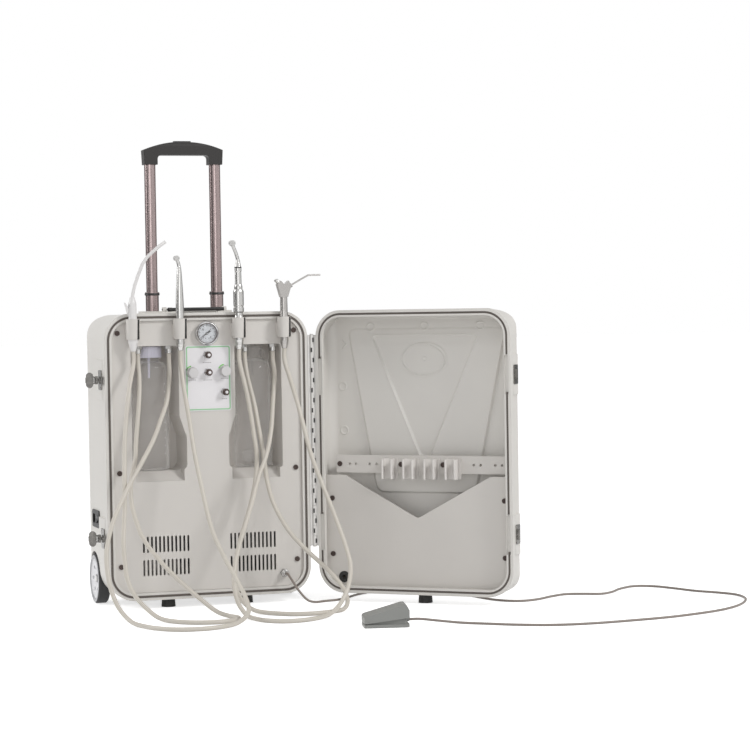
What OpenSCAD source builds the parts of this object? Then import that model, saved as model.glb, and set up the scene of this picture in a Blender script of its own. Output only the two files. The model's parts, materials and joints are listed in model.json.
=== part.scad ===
// Portable dental treatment unit: a moulded trolley case that opens on a piano hinge.
// The equipment half holds the compressor, bottles, control panel and instruments,
// and the lid half holds the instrument clips and the document pocket.
// Millimetres. The floor is z = 0, the front of the equipment half faces -Y.

/* [Case halves] */
// Width of each half, side wall to side wall
case_w = 400; // [385:5:430]
// Height of each half without its feet
case_h = 550; // [540:5:590]
// Depth of the equipment half
body_d = 210; // [205:1:230]
// Depth of the lid half
lid_d = 65; // [62:1:80]
// Wall of both shells
wall = 4; // [3:0.5:4.5]
// Corner radius seen from the front
corner_r = 50; // [44:1:56]
// Radius of the equipment half's rear edges
body_edge_r = 25; // [16:1:30]
// Radius of the lid's outer edges
lid_edge_r = 20; // [14:1:24]
// How far the rim band stands out from the walls
band_out = 2.5; // [1.5:0.5:3]
// Depth of the rim band
band_d = 22; // [16:1:24]
// Width of the rim's front face, measured inward from the wall
rim_in = 12; // [10.5:0.5:14]
// Height of the rubber feet
foot_h = 20; // [14:1:24]
// Radius of the rubber feet
foot_r = 14; // [10:0.5:16]
// Angle at which the lid stands open
lid_open = 140; // [135:1:150]

/* [Hinge] */
// Distance from each half's wall to the hinge axis
hinge_gap = 11; // [10:0.5:13]
// Radius of the hinge pin
pin_r = 2; // [1.5:0.1:2.4]
// Outer radius of the hinge knuckles
knuckle_r = 4.5; // [4:0.1:5]
// Number of knuckles
knuckle_n = 21; // [15:2:23]
// Distance from the case's bottom up to the hinge
hinge_up = 89; // [80:1:100]

/* [Front panel] */
// Thickness of the moulded front panel
panel_t = 3; // [2:0.5:4]
// How far the panel's face lies behind the rim
panel_y = 6; // [4:0.5:8]
// Depth of the bottle alcoves
alcove_d = 92; // [86:1:98]
// Distance from the case's top down to the bottle alcoves
alcove_drop = 61; // [59:1:68]
// Height of the bottle alcoves
alcove_h = 243; // [238:1:250]
// Distance from each side wall to its alcove
alcove_side = 50; // [46:1:52]
// Inner side of each alcove, from the middle of the panel
alcove_in = 56; // [52:1:58]
// How much wider the lower part of each alcove is
alcove_step = 14; // [6:1:14]
// Ventilation slots in one row
vent_n = 12; // [8:1:14]
// Distance between ventilation slots
vent_pitch = 8; // [7:0.5:8]
// Width of a ventilation slot
vent_w = 3.7; // [2.5:0.1:4.5]
// Height of a ventilation slot
vent_h = 31; // [20:1:32]

/* [Bottles] */
// Radius of the bottles
bottle_r = 38; // [32:1:38]
// Wall of the bottles
bottle_wall = 1.8; // [1.2:0.1:3]
// Distance from each bottle's neck up to the alcove's top
bottle_gap = 9; // [9:1:17]
// Radius of the bottle caps
cap_r = 25; // [22:1:28]

/* [Instruments] */
// Radius of the bore that holds each instrument
holder_r = 10.2; // [10.2:0.1:10.8]
// Height of a holder
holder_h = 40; // [36:1:40]
// Distance from the middle to the inner holders
holder_in = 58.5; // [54:0.5:62]
// Distance from each side wall to its outer holder
holder_side = 49.5; // [48.5:0.5:56]
// Diameter of the four instrument hoses
hose_d = 8.5; // [7:0.5:9]
// Diameter of the foot control's tube
tube_d = 4.6; // [4:0.2:5]

/* [Trolley and wheels] */
// Distance between the two telescopic tubes
tube_gap = 133; // [128:1:134]
// Outer radius of the inner telescopic tubes
inner_r = 11.4; // [10:0.1:12]
// Height of the trolley grip's top
grip_top = 915; // [860:5:940]
// Width of the trolley grip
grip_w = 162; // [158:1:180]
// Radius of the wheels
wheel_r = 49; // [44:1:50]
// Width of the wheels
wheel_w = 24; // [18:1:26]
// Length of the folding carry handle
handle_l = 105; // [90:1:120]

/* [Foot control] */
// Length of the foot control
pedal_l = 82; // [80:1:88]
// Width of the foot control
pedal_w = 60; // [50:1:70]
// Height of the foot control at its high end
pedal_h = 40; // [34:1:44]

/* [Hidden] */
$fn = 48;

// Colours of the finishes
c_shell = [0.85, 0.83, 0.81];
c_panel = [0.82, 0.80, 0.77];
c_black = [0.09, 0.09, 0.10];
c_grip = [0.22, 0.21, 0.20];
c_steel = [0.72, 0.73, 0.75];
c_tube = [0.62, 0.54, 0.52];
c_white = [0.93, 0.93, 0.93];
c_hose = [0.80, 0.77, 0.73];
c_clear = [0.85, 0.90, 0.92, 0.5];
c_pedal = [0.55, 0.55, 0.54];

// Where the hinge axis stands in plan, so that the origin is under the middle of the open case
hinge_x = 48.5;
hinge_y = 28;
case_x = hinge_x - hinge_gap - case_w / 2;
mid_z = foot_h + case_h / 2;
top_z = foot_h + case_h;
bottom_in = foot_h + wall;

// Clearances
seat = 0.2;
run = 0.05;
free = 0.3;

// Front rim and the ledge that the front panel is screwed to
ledge_y = panel_y + panel_t;
ledge_w = 18;
rim_d = ledge_y + 4;
panel_w = case_w - 2 * rim_in - 2 * seat;
panel_h = case_h - 2 * rim_in - 2 * seat;
panel_r = corner_r - rim_in;
groove_in = 5.2;
groove_w = 4;
groove_d = 3;

// Places on the front panel: heights hang from the case's top, and the sides follow its walls
alcove_top = top_z - alcove_drop;
alcove_floor = alcove_top - alcove_h;
alcove_out = case_w / 2 - alcove_side;
bottle_h = alcove_h - bottle_gap;
gauge_z = top_z - 38;
gauge_r = 23;
plate_x = [-43, 48];
plate_z = [top_z - 189, top_z - 61.5];
plate_t = 1.5;
holder_z = top_z - 48;
holder_y = -14;
holder_x = [holder_side + 1.5 - case_w / 2, 2.5 - holder_in, holder_in + 2.5, case_w / 2 - holder_side + 1.5];
gland_y = 18;
gland_x = [17 - alcove_out, -alcove_in - 16, alcove_in + 24, alcove_out - 13.5];
vent_rows = [foot_h + 60, foot_h + 105];
vent_x = 87;
coupling_at = [case_w / 2 - 51, foot_h + 38];
screw_x = case_w / 2 - 24;
screw_z = [top_z - 35, alcove_floor - 1, foot_h + 64];

// Wheels and their wells
wheel_y = 148;
well_r = wheel_r + 5;
well_w = wheel_w + 4;
axle_r = 4;
wheel_out = case_w / 2 + band_out;

// Latches on the free walls
latch_z = [top_z - 125, foot_h + 118];
latch_y = 40;
pad_t = 3;
pad_h = 78;
pad_l = 62;

// Telescopic trolley
trolley_y = body_d - 25;
tube_wall = 1.5;
stage_r = inner_r + free + tube_wall;
sleeve_r = stage_r + free + tube_wall;
bezel_t = 6;
bezel_top = top_z + bezel_t;
collar_z = bezel_top + 32;
collar_h = 6;
sleeve_z = 215;
strap_z = [sleeve_z, top_z - 130];

// Turns a pattern into solids: rounded rectangle, and bars along each axis
module rrect(w, h, r) {
    square([w - 2 * r, h], center = true);
    square([w, h - 2 * r], center = true);
    for (sx = [-1, 1], sy = [-1, 1]) translate([sx * (w / 2 - r), sy * (h / 2 - r)]) circle(r);
}

module xcyl(r, x0, x1) { translate([x0, 0, 0]) rotate([0, 90, 0]) cylinder(r = r, h = x1 - x0); }

module ycyl(r, y0, y1) { translate([0, y1, 0]) rotate([90, 0, 0]) cylinder(r = r, h = y1 - y0); }

module zcyl(r, z0, z1) { translate([0, 0, z0]) cylinder(r = r, h = z1 - z0); }

// A 2-D outline drawn in X and Z, as a plate from depth y0 to y1
module plate_xz(y0, y1) { translate([0, y1, 0]) rotate([90, 0, 0]) linear_extrude(y1 - y0) children(); }

// A 2-D outline drawn in Y and Z, as a bar from x0 to x1
module bar_yz(x0, x1) { translate([x0, 0, 0]) rotate([90, 0, 90]) linear_extrude(x1 - x0) children(); }

module front_prism(w, h, r, y0, y1) { translate([0, 0, mid_z]) plate_xz(y0, y1) rrect(w, h, r); }

// Profile that is square in front and rounded behind
module back_rounded(d, h, e) {
    translate([-1, -h / 2]) square([d - e + 1, h]);
    translate([-1, -h / 2 + e]) square([d + 1, h - 2 * e]);
    for (s = [-1, 1]) translate([d - e, s * (h / 2 - e)]) circle(e);
}

// Solid block of one case half: front corners rounded by r, rear edges by e
module half_block(w, h, d, r, e) {
    intersection() {
        front_prism(w, h, r, -1, d);
        translate([0, 0, mid_z]) bar_yz(-w / 2, w / 2) back_rounded(d, h, e);
        translate([0, 0, mid_z - h / 2]) linear_extrude(h) rotate([0, 0, 90]) back_rounded(d, w, e);
    }
}

// Groove that runs round the rim's face
module rim_ring(w, y0, y1) {
    gw = case_w - 2 * groove_in;
    gh = case_h - 2 * groove_in;
    gr = corner_r - groove_in;
    difference() {
        front_prism(gw + w, gh + w, gr + w / 2, y0, y1);
        front_prism(gw - w, gh - w, gr - w / 2, y0 - 1, y1 + 1);
    }
}

module at_case() { translate([case_x, hinge_y, 0]) children(); }

module at_lid() {
    translate([hinge_x, hinge_y, 0]) rotate([0, 0, lid_open - 180])
        translate([hinge_gap + case_w / 2, 0, 0]) children();
}

// ---------------------------------------------------------------- equipment half

module wheel_well(r, x0) {
    for (s = [-1, 1]) translate([0, wheel_y, wheel_r]) mirror([s < 0 ? 1 : 0, 0, 0]) xcyl(r, x0, case_w / 2 + 10);
}

module case_shell() color(c_shell) at_case() {
    in_w = case_w - 2 * wall;
    in_h = case_h - 2 * wall;
    difference() {
        union() {
            difference() {
                union() {
                    intersection() {
                        half_block(case_w, case_h, body_d, corner_r, body_edge_r);
                        translate([-case_w, 0, 0]) cube([2 * case_w, body_d, top_z]);
                    }
                    front_prism(case_w + 2 * band_out, case_h + 2 * band_out, corner_r + band_out, 0, band_d);
                }
                intersection() {
                    half_block(in_w, in_h, body_d - wall, corner_r - wall, body_edge_r - wall);
                    translate([-case_w, rim_d, 0]) cube([2 * case_w, body_d, top_z]);
                }
            }
            intersection() {
                half_block(case_w, case_h, body_d, corner_r, body_edge_r);
                wheel_well(well_r + wall, wheel_out - well_w - wall);
            }
            for (z = latch_z) translate([-case_w / 2 - pad_t, band_d, z - pad_h / 2]) cube([pad_t, pad_l, pad_h]);
        }
        front_prism(panel_w + 2 * seat, panel_h + 2 * seat, panel_r + seat, -1, ledge_y);
        front_prism(panel_w - 2 * ledge_w, panel_h - 2 * ledge_w, panel_r - ledge_w + 4, 0, rim_d + 1);
        rim_ring(groove_w, -1, groove_d);
        wheel_well(well_r, wheel_out - well_w);
        translate([0, wheel_y, wheel_r]) xcyl(axle_r, -case_w / 2, case_w / 2);
        for (s = [-1, 1]) translate([s * tube_gap / 2, trolley_y, 0]) zcyl(sleeve_r, top_z - 20, top_z + 1);
        translate([-case_w / 2 - 1, inlet_y, inlet_z]) bar_yz(0, wall + 2) square([inlet_l - 6, inlet_h - 6], center = true);
        for (x = [-screw_x, screw_x], z = screw_z) translate([x, 0, z]) ycyl(screw_r, ledge_y - 1, rim_d + 1);
        translate([0, 0, gauge_z]) ycyl(gauge_r - 2, ledge_y - 1, rim_d + 1);
    }
}

module rim_gasket() color(c_black) at_case() rim_ring(groove_w, -1, groove_d);

// ---------------------------------------------------------------- front panel

// Outline of the right alcove, grown by g on every side
module alcove_outline(g) {
    upper_w = alcove_out - alcove_in;
    lower_w = upper_w + alcove_step;
    h = alcove_top - alcove_floor;
    lower_h = 78;
    translate([alcove_out - upper_w / 2, alcove_floor + h / 2]) rrect(upper_w + 2 * g, h + 2 * g, 6 + g);
    translate([alcove_out - lower_w / 2, alcove_floor + lower_h / 2]) rrect(lower_w + 2 * g, lower_h + 2 * g, 14 + g);
    x0 = alcove_out - lower_w - g;
    z0 = alcove_floor + lower_h - 14;
    polygon([[x0, z0], [alcove_in - g, z0 + 42], [alcove_in + 20, z0 + 42], [alcove_in + 20, z0]]);
}

module alcove(g, y0, y1) {
    for (s = [0, 1]) mirror([s, 0, 0]) plate_xz(y0, y1) alcove_outline(g);
}

// Sloping sill below each alcove
module sill(g) {
    x0 = alcove_in - alcove_step - g + 6;
    x1 = alcove_out + g - 6;
    drop = 19;
    run_in = 30;
    for (s = [0, 1]) mirror([s, 0, 0]) bar_yz(x0, x1) polygon([
        [panel_y - (g > 0 ? 0 : 1), alcove_floor - drop - g],
        [panel_y + 2, alcove_floor - drop - g],
        [panel_y + run_in + g, alcove_floor - g],
        [panel_y + run_in + g, alcove_floor + 8],
        [panel_y - (g > 0 ? 0 : 1), alcove_floor + 8]
    ]);
}

screw_r = 2;

module front_panel() color(c_panel) at_case() {
    difference() {
        union() {
            front_prism(panel_w, panel_h, panel_r, panel_y, ledge_y);
            alcove(panel_t, panel_y, panel_y + alcove_d + panel_t);
            sill(panel_t);
        }
        alcove(0, panel_y - 1, panel_y + alcove_d);
        sill(0);
        for (s = [-1, 1], z = vent_rows, i = [0 : vent_n - 1]) {
            x = s * vent_x + (i - (vent_n - 1) / 2) * vent_pitch;
            translate([x, 0, z]) plate_xz(panel_y - 1, ledge_y + 1) rrect(vent_w, vent_h, vent_w / 2 - 0.1);
        }
        translate([0, 0, gauge_z]) ycyl(gauge_r - 3, panel_y - 1, ledge_y + 1);
        for (v = valve_at) translate([v[0], 0, v[1]]) ycyl(stem_r, panel_y - 1, ledge_y + 1);
        for (k = knob_at) translate([k[0], 0, k[1]]) ycyl(stem_r, panel_y - 1, ledge_y + 1);
        translate([coupling_at[0], 0, coupling_at[1]]) ycyl(stem_r, panel_y - 1, ledge_y + 1);
        for (x = [-screw_x, screw_x], z = screw_z) translate([x, 0, z]) ycyl(screw_r, panel_y - 1, ledge_y + 1);
        for (x = gland_x) translate([x, gland_y, 0]) zcyl(stem_r, alcove_top - 1, alcove_top + panel_t + 1);
    }
}

module cap_screw(y) {
    difference() {
        ycyl(5, y - 2.4, y);
        ycyl(2, y - 3, y - 1.2);
    }
    ycyl(screw_r, y, y + 7);
}

module panel_screws() color(c_black) at_case()
    for (x = [-screw_x, screw_x], z = screw_z) translate([x, 0, z]) cap_screw(panel_y);

// ---------------------------------------------------------------- controls

stem_r = 4;
valve_at = [[1, top_z - 80], [2, top_z - 114], [35, top_z - 153]];
knob_at = [[-30, top_z - 114], [35, top_z - 112]];
block_d = 34;
block_h = 100;

module control_plate() color(c_white) at_case() {
    zc = (plate_z[0] + plate_z[1]) / 2;
    difference() {
        translate([(plate_x[0] + plate_x[1]) / 2, 0, zc]) plate_xz(panel_y - plate_t, panel_y)
            rrect(plate_x[1] - plate_x[0], plate_z[1] - plate_z[0], 4);
        for (v = valve_at) translate([v[0], 0, v[1]]) ycyl(stem_r, panel_y - 5, panel_y + 1);
        for (k = knob_at) translate([k[0], 0, k[1]]) ycyl(stem_r, panel_y - 5, panel_y + 1);
    }
}

module valve_manifold() color(c_steel) at_case() {
    face = panel_y - plate_t;
    for (v = valve_at) translate([v[0], 0, v[1]]) {
        translate([0, face, 0]) rotate([90, 0, 0]) cylinder(r = 9, h = 3, $fn = 6);
        ycyl(6.5, face - 11, face - 3);
        ycyl(4.5, face - 16, face - 11);
        ycyl(stem_r, face, ledge_y);
    }
    for (k = knob_at) translate([k[0], 0, k[1]]) {
        ycyl(stem_r, face - 2, ledge_y);
        ycyl(2.5, face - 12, face - 2);
    }
    translate([-40, ledge_y, plate_z[0] + 19]) cube([84, block_d, block_h]);
}

module control_knob(i) at_case() translate([knob_at[i][0], 0, knob_at[i][1]]) {
    face = panel_y - plate_t - 2 - free;
    difference() {
        union() {
            ycyl(11, face - 5, face);
            ycyl(9.5, face - 14, face - 5);
            for (a = [0 : 30 : 330]) rotate([0, a, 0]) translate([9.5, 0, 0]) ycyl(1.1, face - 13, face - 5);
        }
        ycyl(2.5 + run, face - 11, face + 1);
    }
}

module control_knob_left() color(c_panel) control_knob(0);

module control_knob_right() color(c_panel) control_knob(1);

module pressure_gauge() color(c_steel) at_case() translate([0, 0, gauge_z]) {
    rotate([90, 0, 0]) rotate_extrude() polygon([
        [0, -30], [17, -30], [gauge_r - 3, -24], [gauge_r - 3, -panel_y], [gauge_r, -panel_y], [gauge_r, 4],
        [gauge_r - 1.5, 6], [gauge_r - 3, 5], [gauge_r - 3, 0], [1.2, 0], [1.2, 2.2], [0, 2.2]
    ]);
}

module gauge_needle() color(c_black) at_case() translate([0, 0, gauge_z]) rotate([0, -35, 0]) {
    difference() {
        union() {
            ycyl(2.4, -1.8, -0.6);
            plate_xz(-1.5, -0.7) polygon([[-17, 0], [-2, 1.1], [8, 1.8], [8, -1.8], [-2, -1.1]]);
        }
        ycyl(1.2 + run, -3, 1);
    }
}

module gauge_glass() color(c_clear) at_case() translate([0, 0, gauge_z]) ycyl(gauge_r - 3, -4.4, -3);

// ---------------------------------------------------------------- instrument holders and glands

holder_w = 20;
back_h = 29;

// Tapered cup in front of the rim, on a lower block that is screwed to the panel
module instrument_holders() color(c_panel) at_case()
    for (x = holder_x) translate([x, holder_y, holder_z]) difference() {
        union() {
            cylinder(r1 = holder_r + 2, r2 = holder_r + 3.3, h = holder_h);
            translate([-holder_w / 2, 0, 0]) cube([holder_w, panel_y - holder_y, back_h]);
            translate([0, panel_y - holder_y - 4, 0]) zcyl(holder_w / 2 + 2, 4, back_h);
        }
        translate([-holder_w, panel_y - holder_y, -1]) cube([2 * holder_w, holder_w, back_h + 2]);
        zcyl(holder_r, -1, holder_h + 1);
        rotate([0, 0, 48]) translate([-3.5, -holder_w, -1]) cube([7, holder_w, holder_h + 2]);
        translate([0, 0, holder_h - 4]) cylinder(r1 = holder_r, r2 = holder_r + 1.8, h = 4.01);
    }

module hose_glands() color(c_steel) at_case() {
    for (x = gland_x) translate([x, gland_y, 0]) {
        translate([0, 0, alcove_top - 6]) rotate([0, 0, 30]) cylinder(r = 8.5, h = 6, $fn = 6);
        zcyl(6.5, alcove_top - 14, alcove_top - 6);
        zcyl(stem_r, alcove_top, alcove_top + 16);
    }
    translate([coupling_at[0], 0, coupling_at[1]]) {
        translate([0, panel_y, 0]) rotate([90, 0, 0]) cylinder(r = 9, h = 4, $fn = 6);
        ycyl(6.5, panel_y - 12, panel_y - 4);
        ycyl(7.5, panel_y - 10, panel_y - 7);
        ycyl(4, panel_y - 18, panel_y - 12);
        ycyl(stem_r, panel_y, panel_y + 14);
    }
}

// ---------------------------------------------------------------- bottles

bottle_x = (alcove_in + alcove_out) / 2 + 1;
side_r = min(bottle_r, (alcove_out - alcove_in) / 2 - 9);
bottle_y = panel_y + alcove_d - side_r - 4;
neck_r = cap_r - 5;
neck_z = bottle_h - 22;

function bottle_side(r, h0, e) = [
    [r - 6, h0], [r - 1.8, h0 + 1.8], [r, h0 + 6], [r, neck_z - 16], [r - 2, neck_z - 9],
    [r - 7, neck_z - 3], [neck_r - e, neck_z + 2]
];

module bottle() {
    rotate_extrude() polygon(concat(
        [[0, 0]], bottle_side(side_r, 0, 0), [[neck_r, bottle_h + 4], [neck_r - bottle_wall, bottle_h + 4]],
        [for (i = [6 : -1 : 0]) bottle_side(side_r - bottle_wall, bottle_wall, bottle_wall)[i]],
        [[0, bottle_wall]]
    ));
}

module water_bottle() color(c_clear) at_case() translate([-bottle_x, bottle_y, alcove_floor]) bottle();

module waste_bottle() color(c_clear) at_case() translate([bottle_x, bottle_y, alcove_floor]) bottle();

module bottle_caps() color(c_white) at_case()
    for (s = [-1, 1]) translate([s * bottle_x, bottle_y, alcove_floor + bottle_h - 14]) {
        difference() {
            union() {
                zcyl(cap_r - 1, 0, 22);
                for (a = [0 : 15 : 345]) rotate([0, 0, a]) translate([cap_r - 1, 0, 0]) zcyl(1, 0.5, 20);
            }
            zcyl(neck_r + seat, -1, 18);
        }
        zcyl(4, 22, alcove_top - alcove_floor - bottle_h + 14);
        zcyl(2.5, -40, 18);
    }

// ---------------------------------------------------------------- compressor, tank and mains inlet

bay_x = wheel_out - well_w - wall;
comp_x = bay_x - 96.5;
comp_y = 88;
comp_z = 112;
mount_h = 10;
base_z = bottom_in + mount_h;

module air_compressor() color(c_steel) at_case() translate([comp_x, comp_y, 0]) {
    translate([0, 0, comp_z]) {
        xcyl(38, -42, 42);
        for (a = [0 : 20 : 340]) rotate([a, 0, 0]) translate([-38, -1.2, 36]) cube([76, 2.4, 6]);
        xcyl(4, -102, 84);
    }
    for (s = [-1, 1]) {
        translate([s * 58 - 17, -34, base_z + 3]) cube([34, 68, comp_z + 30 - base_z - 3]);
        translate([s * 58, 0, 0]) {
            zcyl(26, comp_z + 30, comp_z + 62);
            for (i = [0 : 4]) zcyl(30, comp_z + 34 + i * 6, comp_z + 36.5 + i * 6);
            zcyl(22, comp_z + 62, comp_z + 72);
        }
        for (t = [-1, 1]) translate([s * 66, t * 32, 0]) zcyl(8, bottom_in, base_z);
    }
    translate([-84, -44, base_z]) cube([168, 88, 3]);
    translate([-30, -30, base_z + 3]) cube([60, 60, comp_z - 34 - base_z - 3]);
}

module compressor_fan() color(c_black) at_case() translate([comp_x - 96, comp_y, comp_z]) {
    difference() {
        union() {
            xcyl(11, -4, 4);
            for (a = [0 : 60 : 300]) rotate([a, 0, 0]) translate([0, 0, 22]) rotate([0, 0, 28]) cube([1.8, 14, 28], center = true);
        }
        xcyl(4 + run, -6, 6);
    }
}

tank_r = 34;
tank_l = comp_x - 115 + bay_x - 5.5;
tank_x = (comp_x - 115 - bay_x + 5.5) / 2;

module air_tank() color(c_shell) at_case() translate([tank_x, 80, bottom_in + 12 + tank_r]) {
    l = tank_l;
    rotate([0, 90, 0]) translate([0, 0, -l / 2]) rotate_extrude() polygon([
        [0, 0], [12, 1], [24, 6], [31, 14], [tank_r, 24], [tank_r, l - 24], [31, l - 14], [24, l - 6], [12, l - 1], [0, l]
    ]);
    for (s = [-1, 1]) translate([s * (l / 2 - 26) - 8, -24, -tank_r - 12]) difference() {
        cube([16, 48, 26]);
        translate([-1, 24, tank_r + 12]) xcyl(tank_r - 0.5, 0, 18);
    }
    zcyl(7, tank_r - 1, tank_r + 12);
}

inlet_y = 122;
inlet_z = 170;
inlet_l = 66;
inlet_h = 34;

module mains_inlet() color(c_black) at_case() translate([-case_w / 2, inlet_y, inlet_z]) difference() {
    union() {
        bar_yz(-2.5, 0) rrect(inlet_l, inlet_h, 4);
        bar_yz(0, 26) square([inlet_l - 6, inlet_h - 6], center = true);
    }
    translate([-4, 14, 0]) bar_yz(0, 20) rrect(24, 18, 3);
    translate([-4, -16, 0]) bar_yz(0, 14) square([21, 15], center = true);
    translate([4, -16, 0]) ycyl(1.5, -14, 14);
}

module power_rocker() color(c_black) at_case() translate([-case_w / 2 + 4, inlet_y - 16, inlet_z]) {
    rotate([0, 9, 0]) translate([-7.5, 0, 0]) {
        plate_xz(-10.2, 10.2) polygon([[-1, -6.6], [0.8, 0], [-1, 6.6], [9, 3], [9, -3]]);
    }
    ycyl(1.5 - run, -13.5, 13.5);
}

// ---------------------------------------------------------------- trolley, carry handle, wheels and feet

module at_tubes() { for (s = [-1, 1]) translate([s * tube_gap / 2, trolley_y, 0]) children(); }

handle_y = 90;
handle_t = 5;
handle_arm = 26;
handle_z = top_z + 9;

module top_bezel() color(c_shell) at_case() {
    difference() {
        translate([0, trolley_y - 4, top_z]) linear_extrude(bezel_t) rrect(tube_gap + 56, 40, 14);
        at_tubes() zcyl(sleeve_r, top_z - 1, bezel_top + 1);
    }
    difference() {
        union() {
            translate([0, handle_y, top_z]) linear_extrude(handle_t) rrect(handle_l + 30, 36, 6);
            for (s = [-1, 1]) translate([s * (handle_l / 2 + 8), handle_y + 12, 0]) {
                translate([-4, -5, top_z]) cube([8, 10, handle_z - top_z]);
                translate([0, 0, handle_z]) xcyl(5, -4, 4);
            }
        }
        translate([0, handle_y + 12, handle_z]) xcyl(2 + run, -handle_l, handle_l);
        translate([0, handle_y - handle_arm + 12, top_z + 2]) linear_extrude(6) rrect(handle_l - 24, 16, 5);
    }
}

// Folding carry handle: two arms on a cross pin, and a round grip bar
module carry_handle() color(c_black) at_case() translate([0, handle_y + 12, handle_z]) {
    arm_x = handle_l / 2;
    xcyl(2, -arm_x - 13, arm_x + 13);
    for (s = [-1, 1]) translate([s * (arm_x - 3), 0, 0]) {
        xcyl(4, -4, 4);
        translate([-4, -handle_arm, -1.5]) cube([8, handle_arm, 5]);
    }
    translate([0, -handle_arm, 0]) xcyl(3.5, -arm_x - 1, arm_x + 1);
}

module trolley_sleeves() color(c_steel) at_case() {
    difference() {
        union() {
            at_tubes() zcyl(sleeve_r, sleeve_z, bezel_top);
            for (z = strap_z) translate([0, trolley_y, z])
                linear_extrude(14) translate([-tube_gap / 2 - 26, -3]) square([tube_gap + 52, body_d - wall - trolley_y + 3]);
        }
        at_tubes() zcyl(stage_r + free, sleeve_z - 1, bezel_top + 1);
    }
}

module trolley_stage() color(c_tube) at_case() {
    at_tubes() difference() {
        union() {
            zcyl(stage_r, bezel_top - 80, collar_z);
            zcyl(stage_r + 1.2, collar_z, collar_z + collar_h);
        }
        zcyl(inner_r + free, bezel_top - 81, collar_z + collar_h + 1);
    }
}

grip_d = 28;
leg_z = grip_top - 46;
grip_arc = 205;
leg_x = [tube_gap / 2 - 13.5, tube_gap / 2 + 13];

module trolley_tubes() color(c_tube) at_case() {
    at_tubes() difference() {
        zcyl(inner_r, collar_z - 90, leg_z + 18);
        zcyl(inner_r - tube_wall, collar_z - 91, leg_z + 19);
        for (a = [0 : 30 : 330]) rotate([0, 0, a]) translate([inner_r + 0.5, 0, 0]) zcyl(1.1, collar_z + 12, leg_z - 1);
    }
}

module trolley_grip() color(c_grip) at_case() translate([0, trolley_y, 0]) {
    difference() {
        intersection() {
            plate_xz(-grip_d / 2, grip_d / 2) intersection() {
                translate([0, grip_top - grip_arc]) circle(grip_arc, $fn = 180);
                polygon([
                    [-leg_x[1], leg_z], [leg_x[1], leg_z], [grip_w / 2, grip_top - 16], [grip_w / 2 - 2, grip_top],
                    [2 - grip_w / 2, grip_top], [-grip_w / 2, grip_top - 16]
                ]);
            }
            bar_yz(-grip_w, grip_w) translate([0, grip_top - 35]) rrect(grip_d, 70, 9);
        }
        plate_xz(-grip_d, grip_d) translate([0, grip_top - 27 - 40]) rrect(2 * leg_x[0], 80, 8);
        for (s = [-1, 1]) translate([s * tube_gap / 2, 0, 0]) zcyl(inner_r, leg_z - 1, leg_z + 18);
        translate([0, 0, grip_top - 6]) linear_extrude(10) rrect(36 + 2 * free, 14 + 2 * free, 6);
    }
}

module grip_button() color(c_black) at_case() translate([0, trolley_y, grip_top - 1.7]) {
    linear_extrude(3) rrect(36, 14, 6 - free);
}

module wheel_axle() color(c_steel) at_case() translate([0, wheel_y, wheel_r]) {
    xcyl(axle_r, -wheel_out + 6, wheel_out - 6);
    for (s = [-1, 1]) translate([s * (wheel_out - 4.7), 0, 0]) xcyl(axle_r + 3, -1.3, 1.3);
}

module wheel() {
    hub_r = wheel_r - 10;
    h = wheel_w / 2;
    difference() {
        rotate([0, 90, 0]) rotate_extrude() polygon([
            [axle_r + run, -h + 3], [14, -h + 3], [14, -h + 8], [hub_r - 5, -h + 8], [hub_r - 5, -h + 2], [hub_r, -h + 2],
            [hub_r, h - 2], [hub_r - 4, h - 1], [hub_r - 8, h - 3], [14, h - 5], [axle_r + 5, h - 6], [axle_r + 5, h - 9],
            [axle_r + run, h - 9]
        ]);
        for (a = [0 : 60 : 300]) rotate([a, 0, 0]) translate([0, 24, 0]) xcyl(4, -h, h);
    }
    rotate([0, 90, 0]) rotate_extrude() polygon([
        [hub_r, -h + 2], [hub_r + 3, -h], [wheel_r - 3, -h], [wheel_r, -h + 3], [wheel_r, h - 3], [wheel_r - 3, h],
        [hub_r + 3, h], [hub_r, h - 2]
    ]);
}

module at_wheel(s) { at_case() translate([s * (wheel_out - wheel_w / 2), wheel_y, wheel_r]) mirror([s < 0 ? 1 : 0, 0, 0]) children(); }

module wheel_left() color(c_white) at_wheel(-1) wheel();

module wheel_right() color(c_white) at_wheel(1) wheel();

module rubber_foot() { cylinder(r1 = foot_r, r2 = foot_r - 1.5, h = foot_h); }

module rubber_feet() color(c_black) at_case() for (s = [-1, 1]) translate([s * 78, 36, 0]) rubber_foot();

// ---------------------------------------------------------------- latches

latch_l = 28;
latch_h = 38;
latch_pin = 3;
latch_face = case_w / 2 + pad_t + 2;

module latch_bases() color(c_steel) at_case() for (z = latch_z) translate([0, latch_y, z]) {
    x = -latch_face;
    difference() {
        translate([x, 0, 0]) bar_yz(0, 2) rrect(latch_l, latch_h, 3);
        for (s = [-1, 1]) translate([x - 1, s * 10, s * 14]) xcyl(1.6, 0, 4);
    }
    xcyl(latch_pin, x - 9, x);
    translate([x - 9, 0, 0]) xcyl(latch_pin + 2, -1.5, 0);
    translate([x - 3.4, -latch_y + 4, -8]) difference() {
        cube([1.6, latch_y - 4 - 10, 16]);
        translate([-1, 4, 4]) cube([4, 8, 8]);
    }
    translate([x - 3.4, -20, -6]) cube([3.4, 8, 12]);
}

// Butterfly wing, folded up from the wall, that turns on the base's pin
module latch_wing() {
    difference() {
        union() {
            xcyl(8, -8.6, -4);
            translate([-4.6, 0, 0]) plate_xz(-1.4, 1.4) {
                translate([-13, 0]) rrect(20, 15, 4);
                for (s = [-1, 1]) translate([-15, s * 8]) circle(7);
            }
        }
        xcyl(latch_pin + run, -12, 0);
        xcyl(latch_pin + 2.4, -12, -8.2);
    }
}

module latch_wing_upper() color(c_steel) at_case() translate([-latch_face, latch_y, latch_z[0]]) latch_wing();

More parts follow.
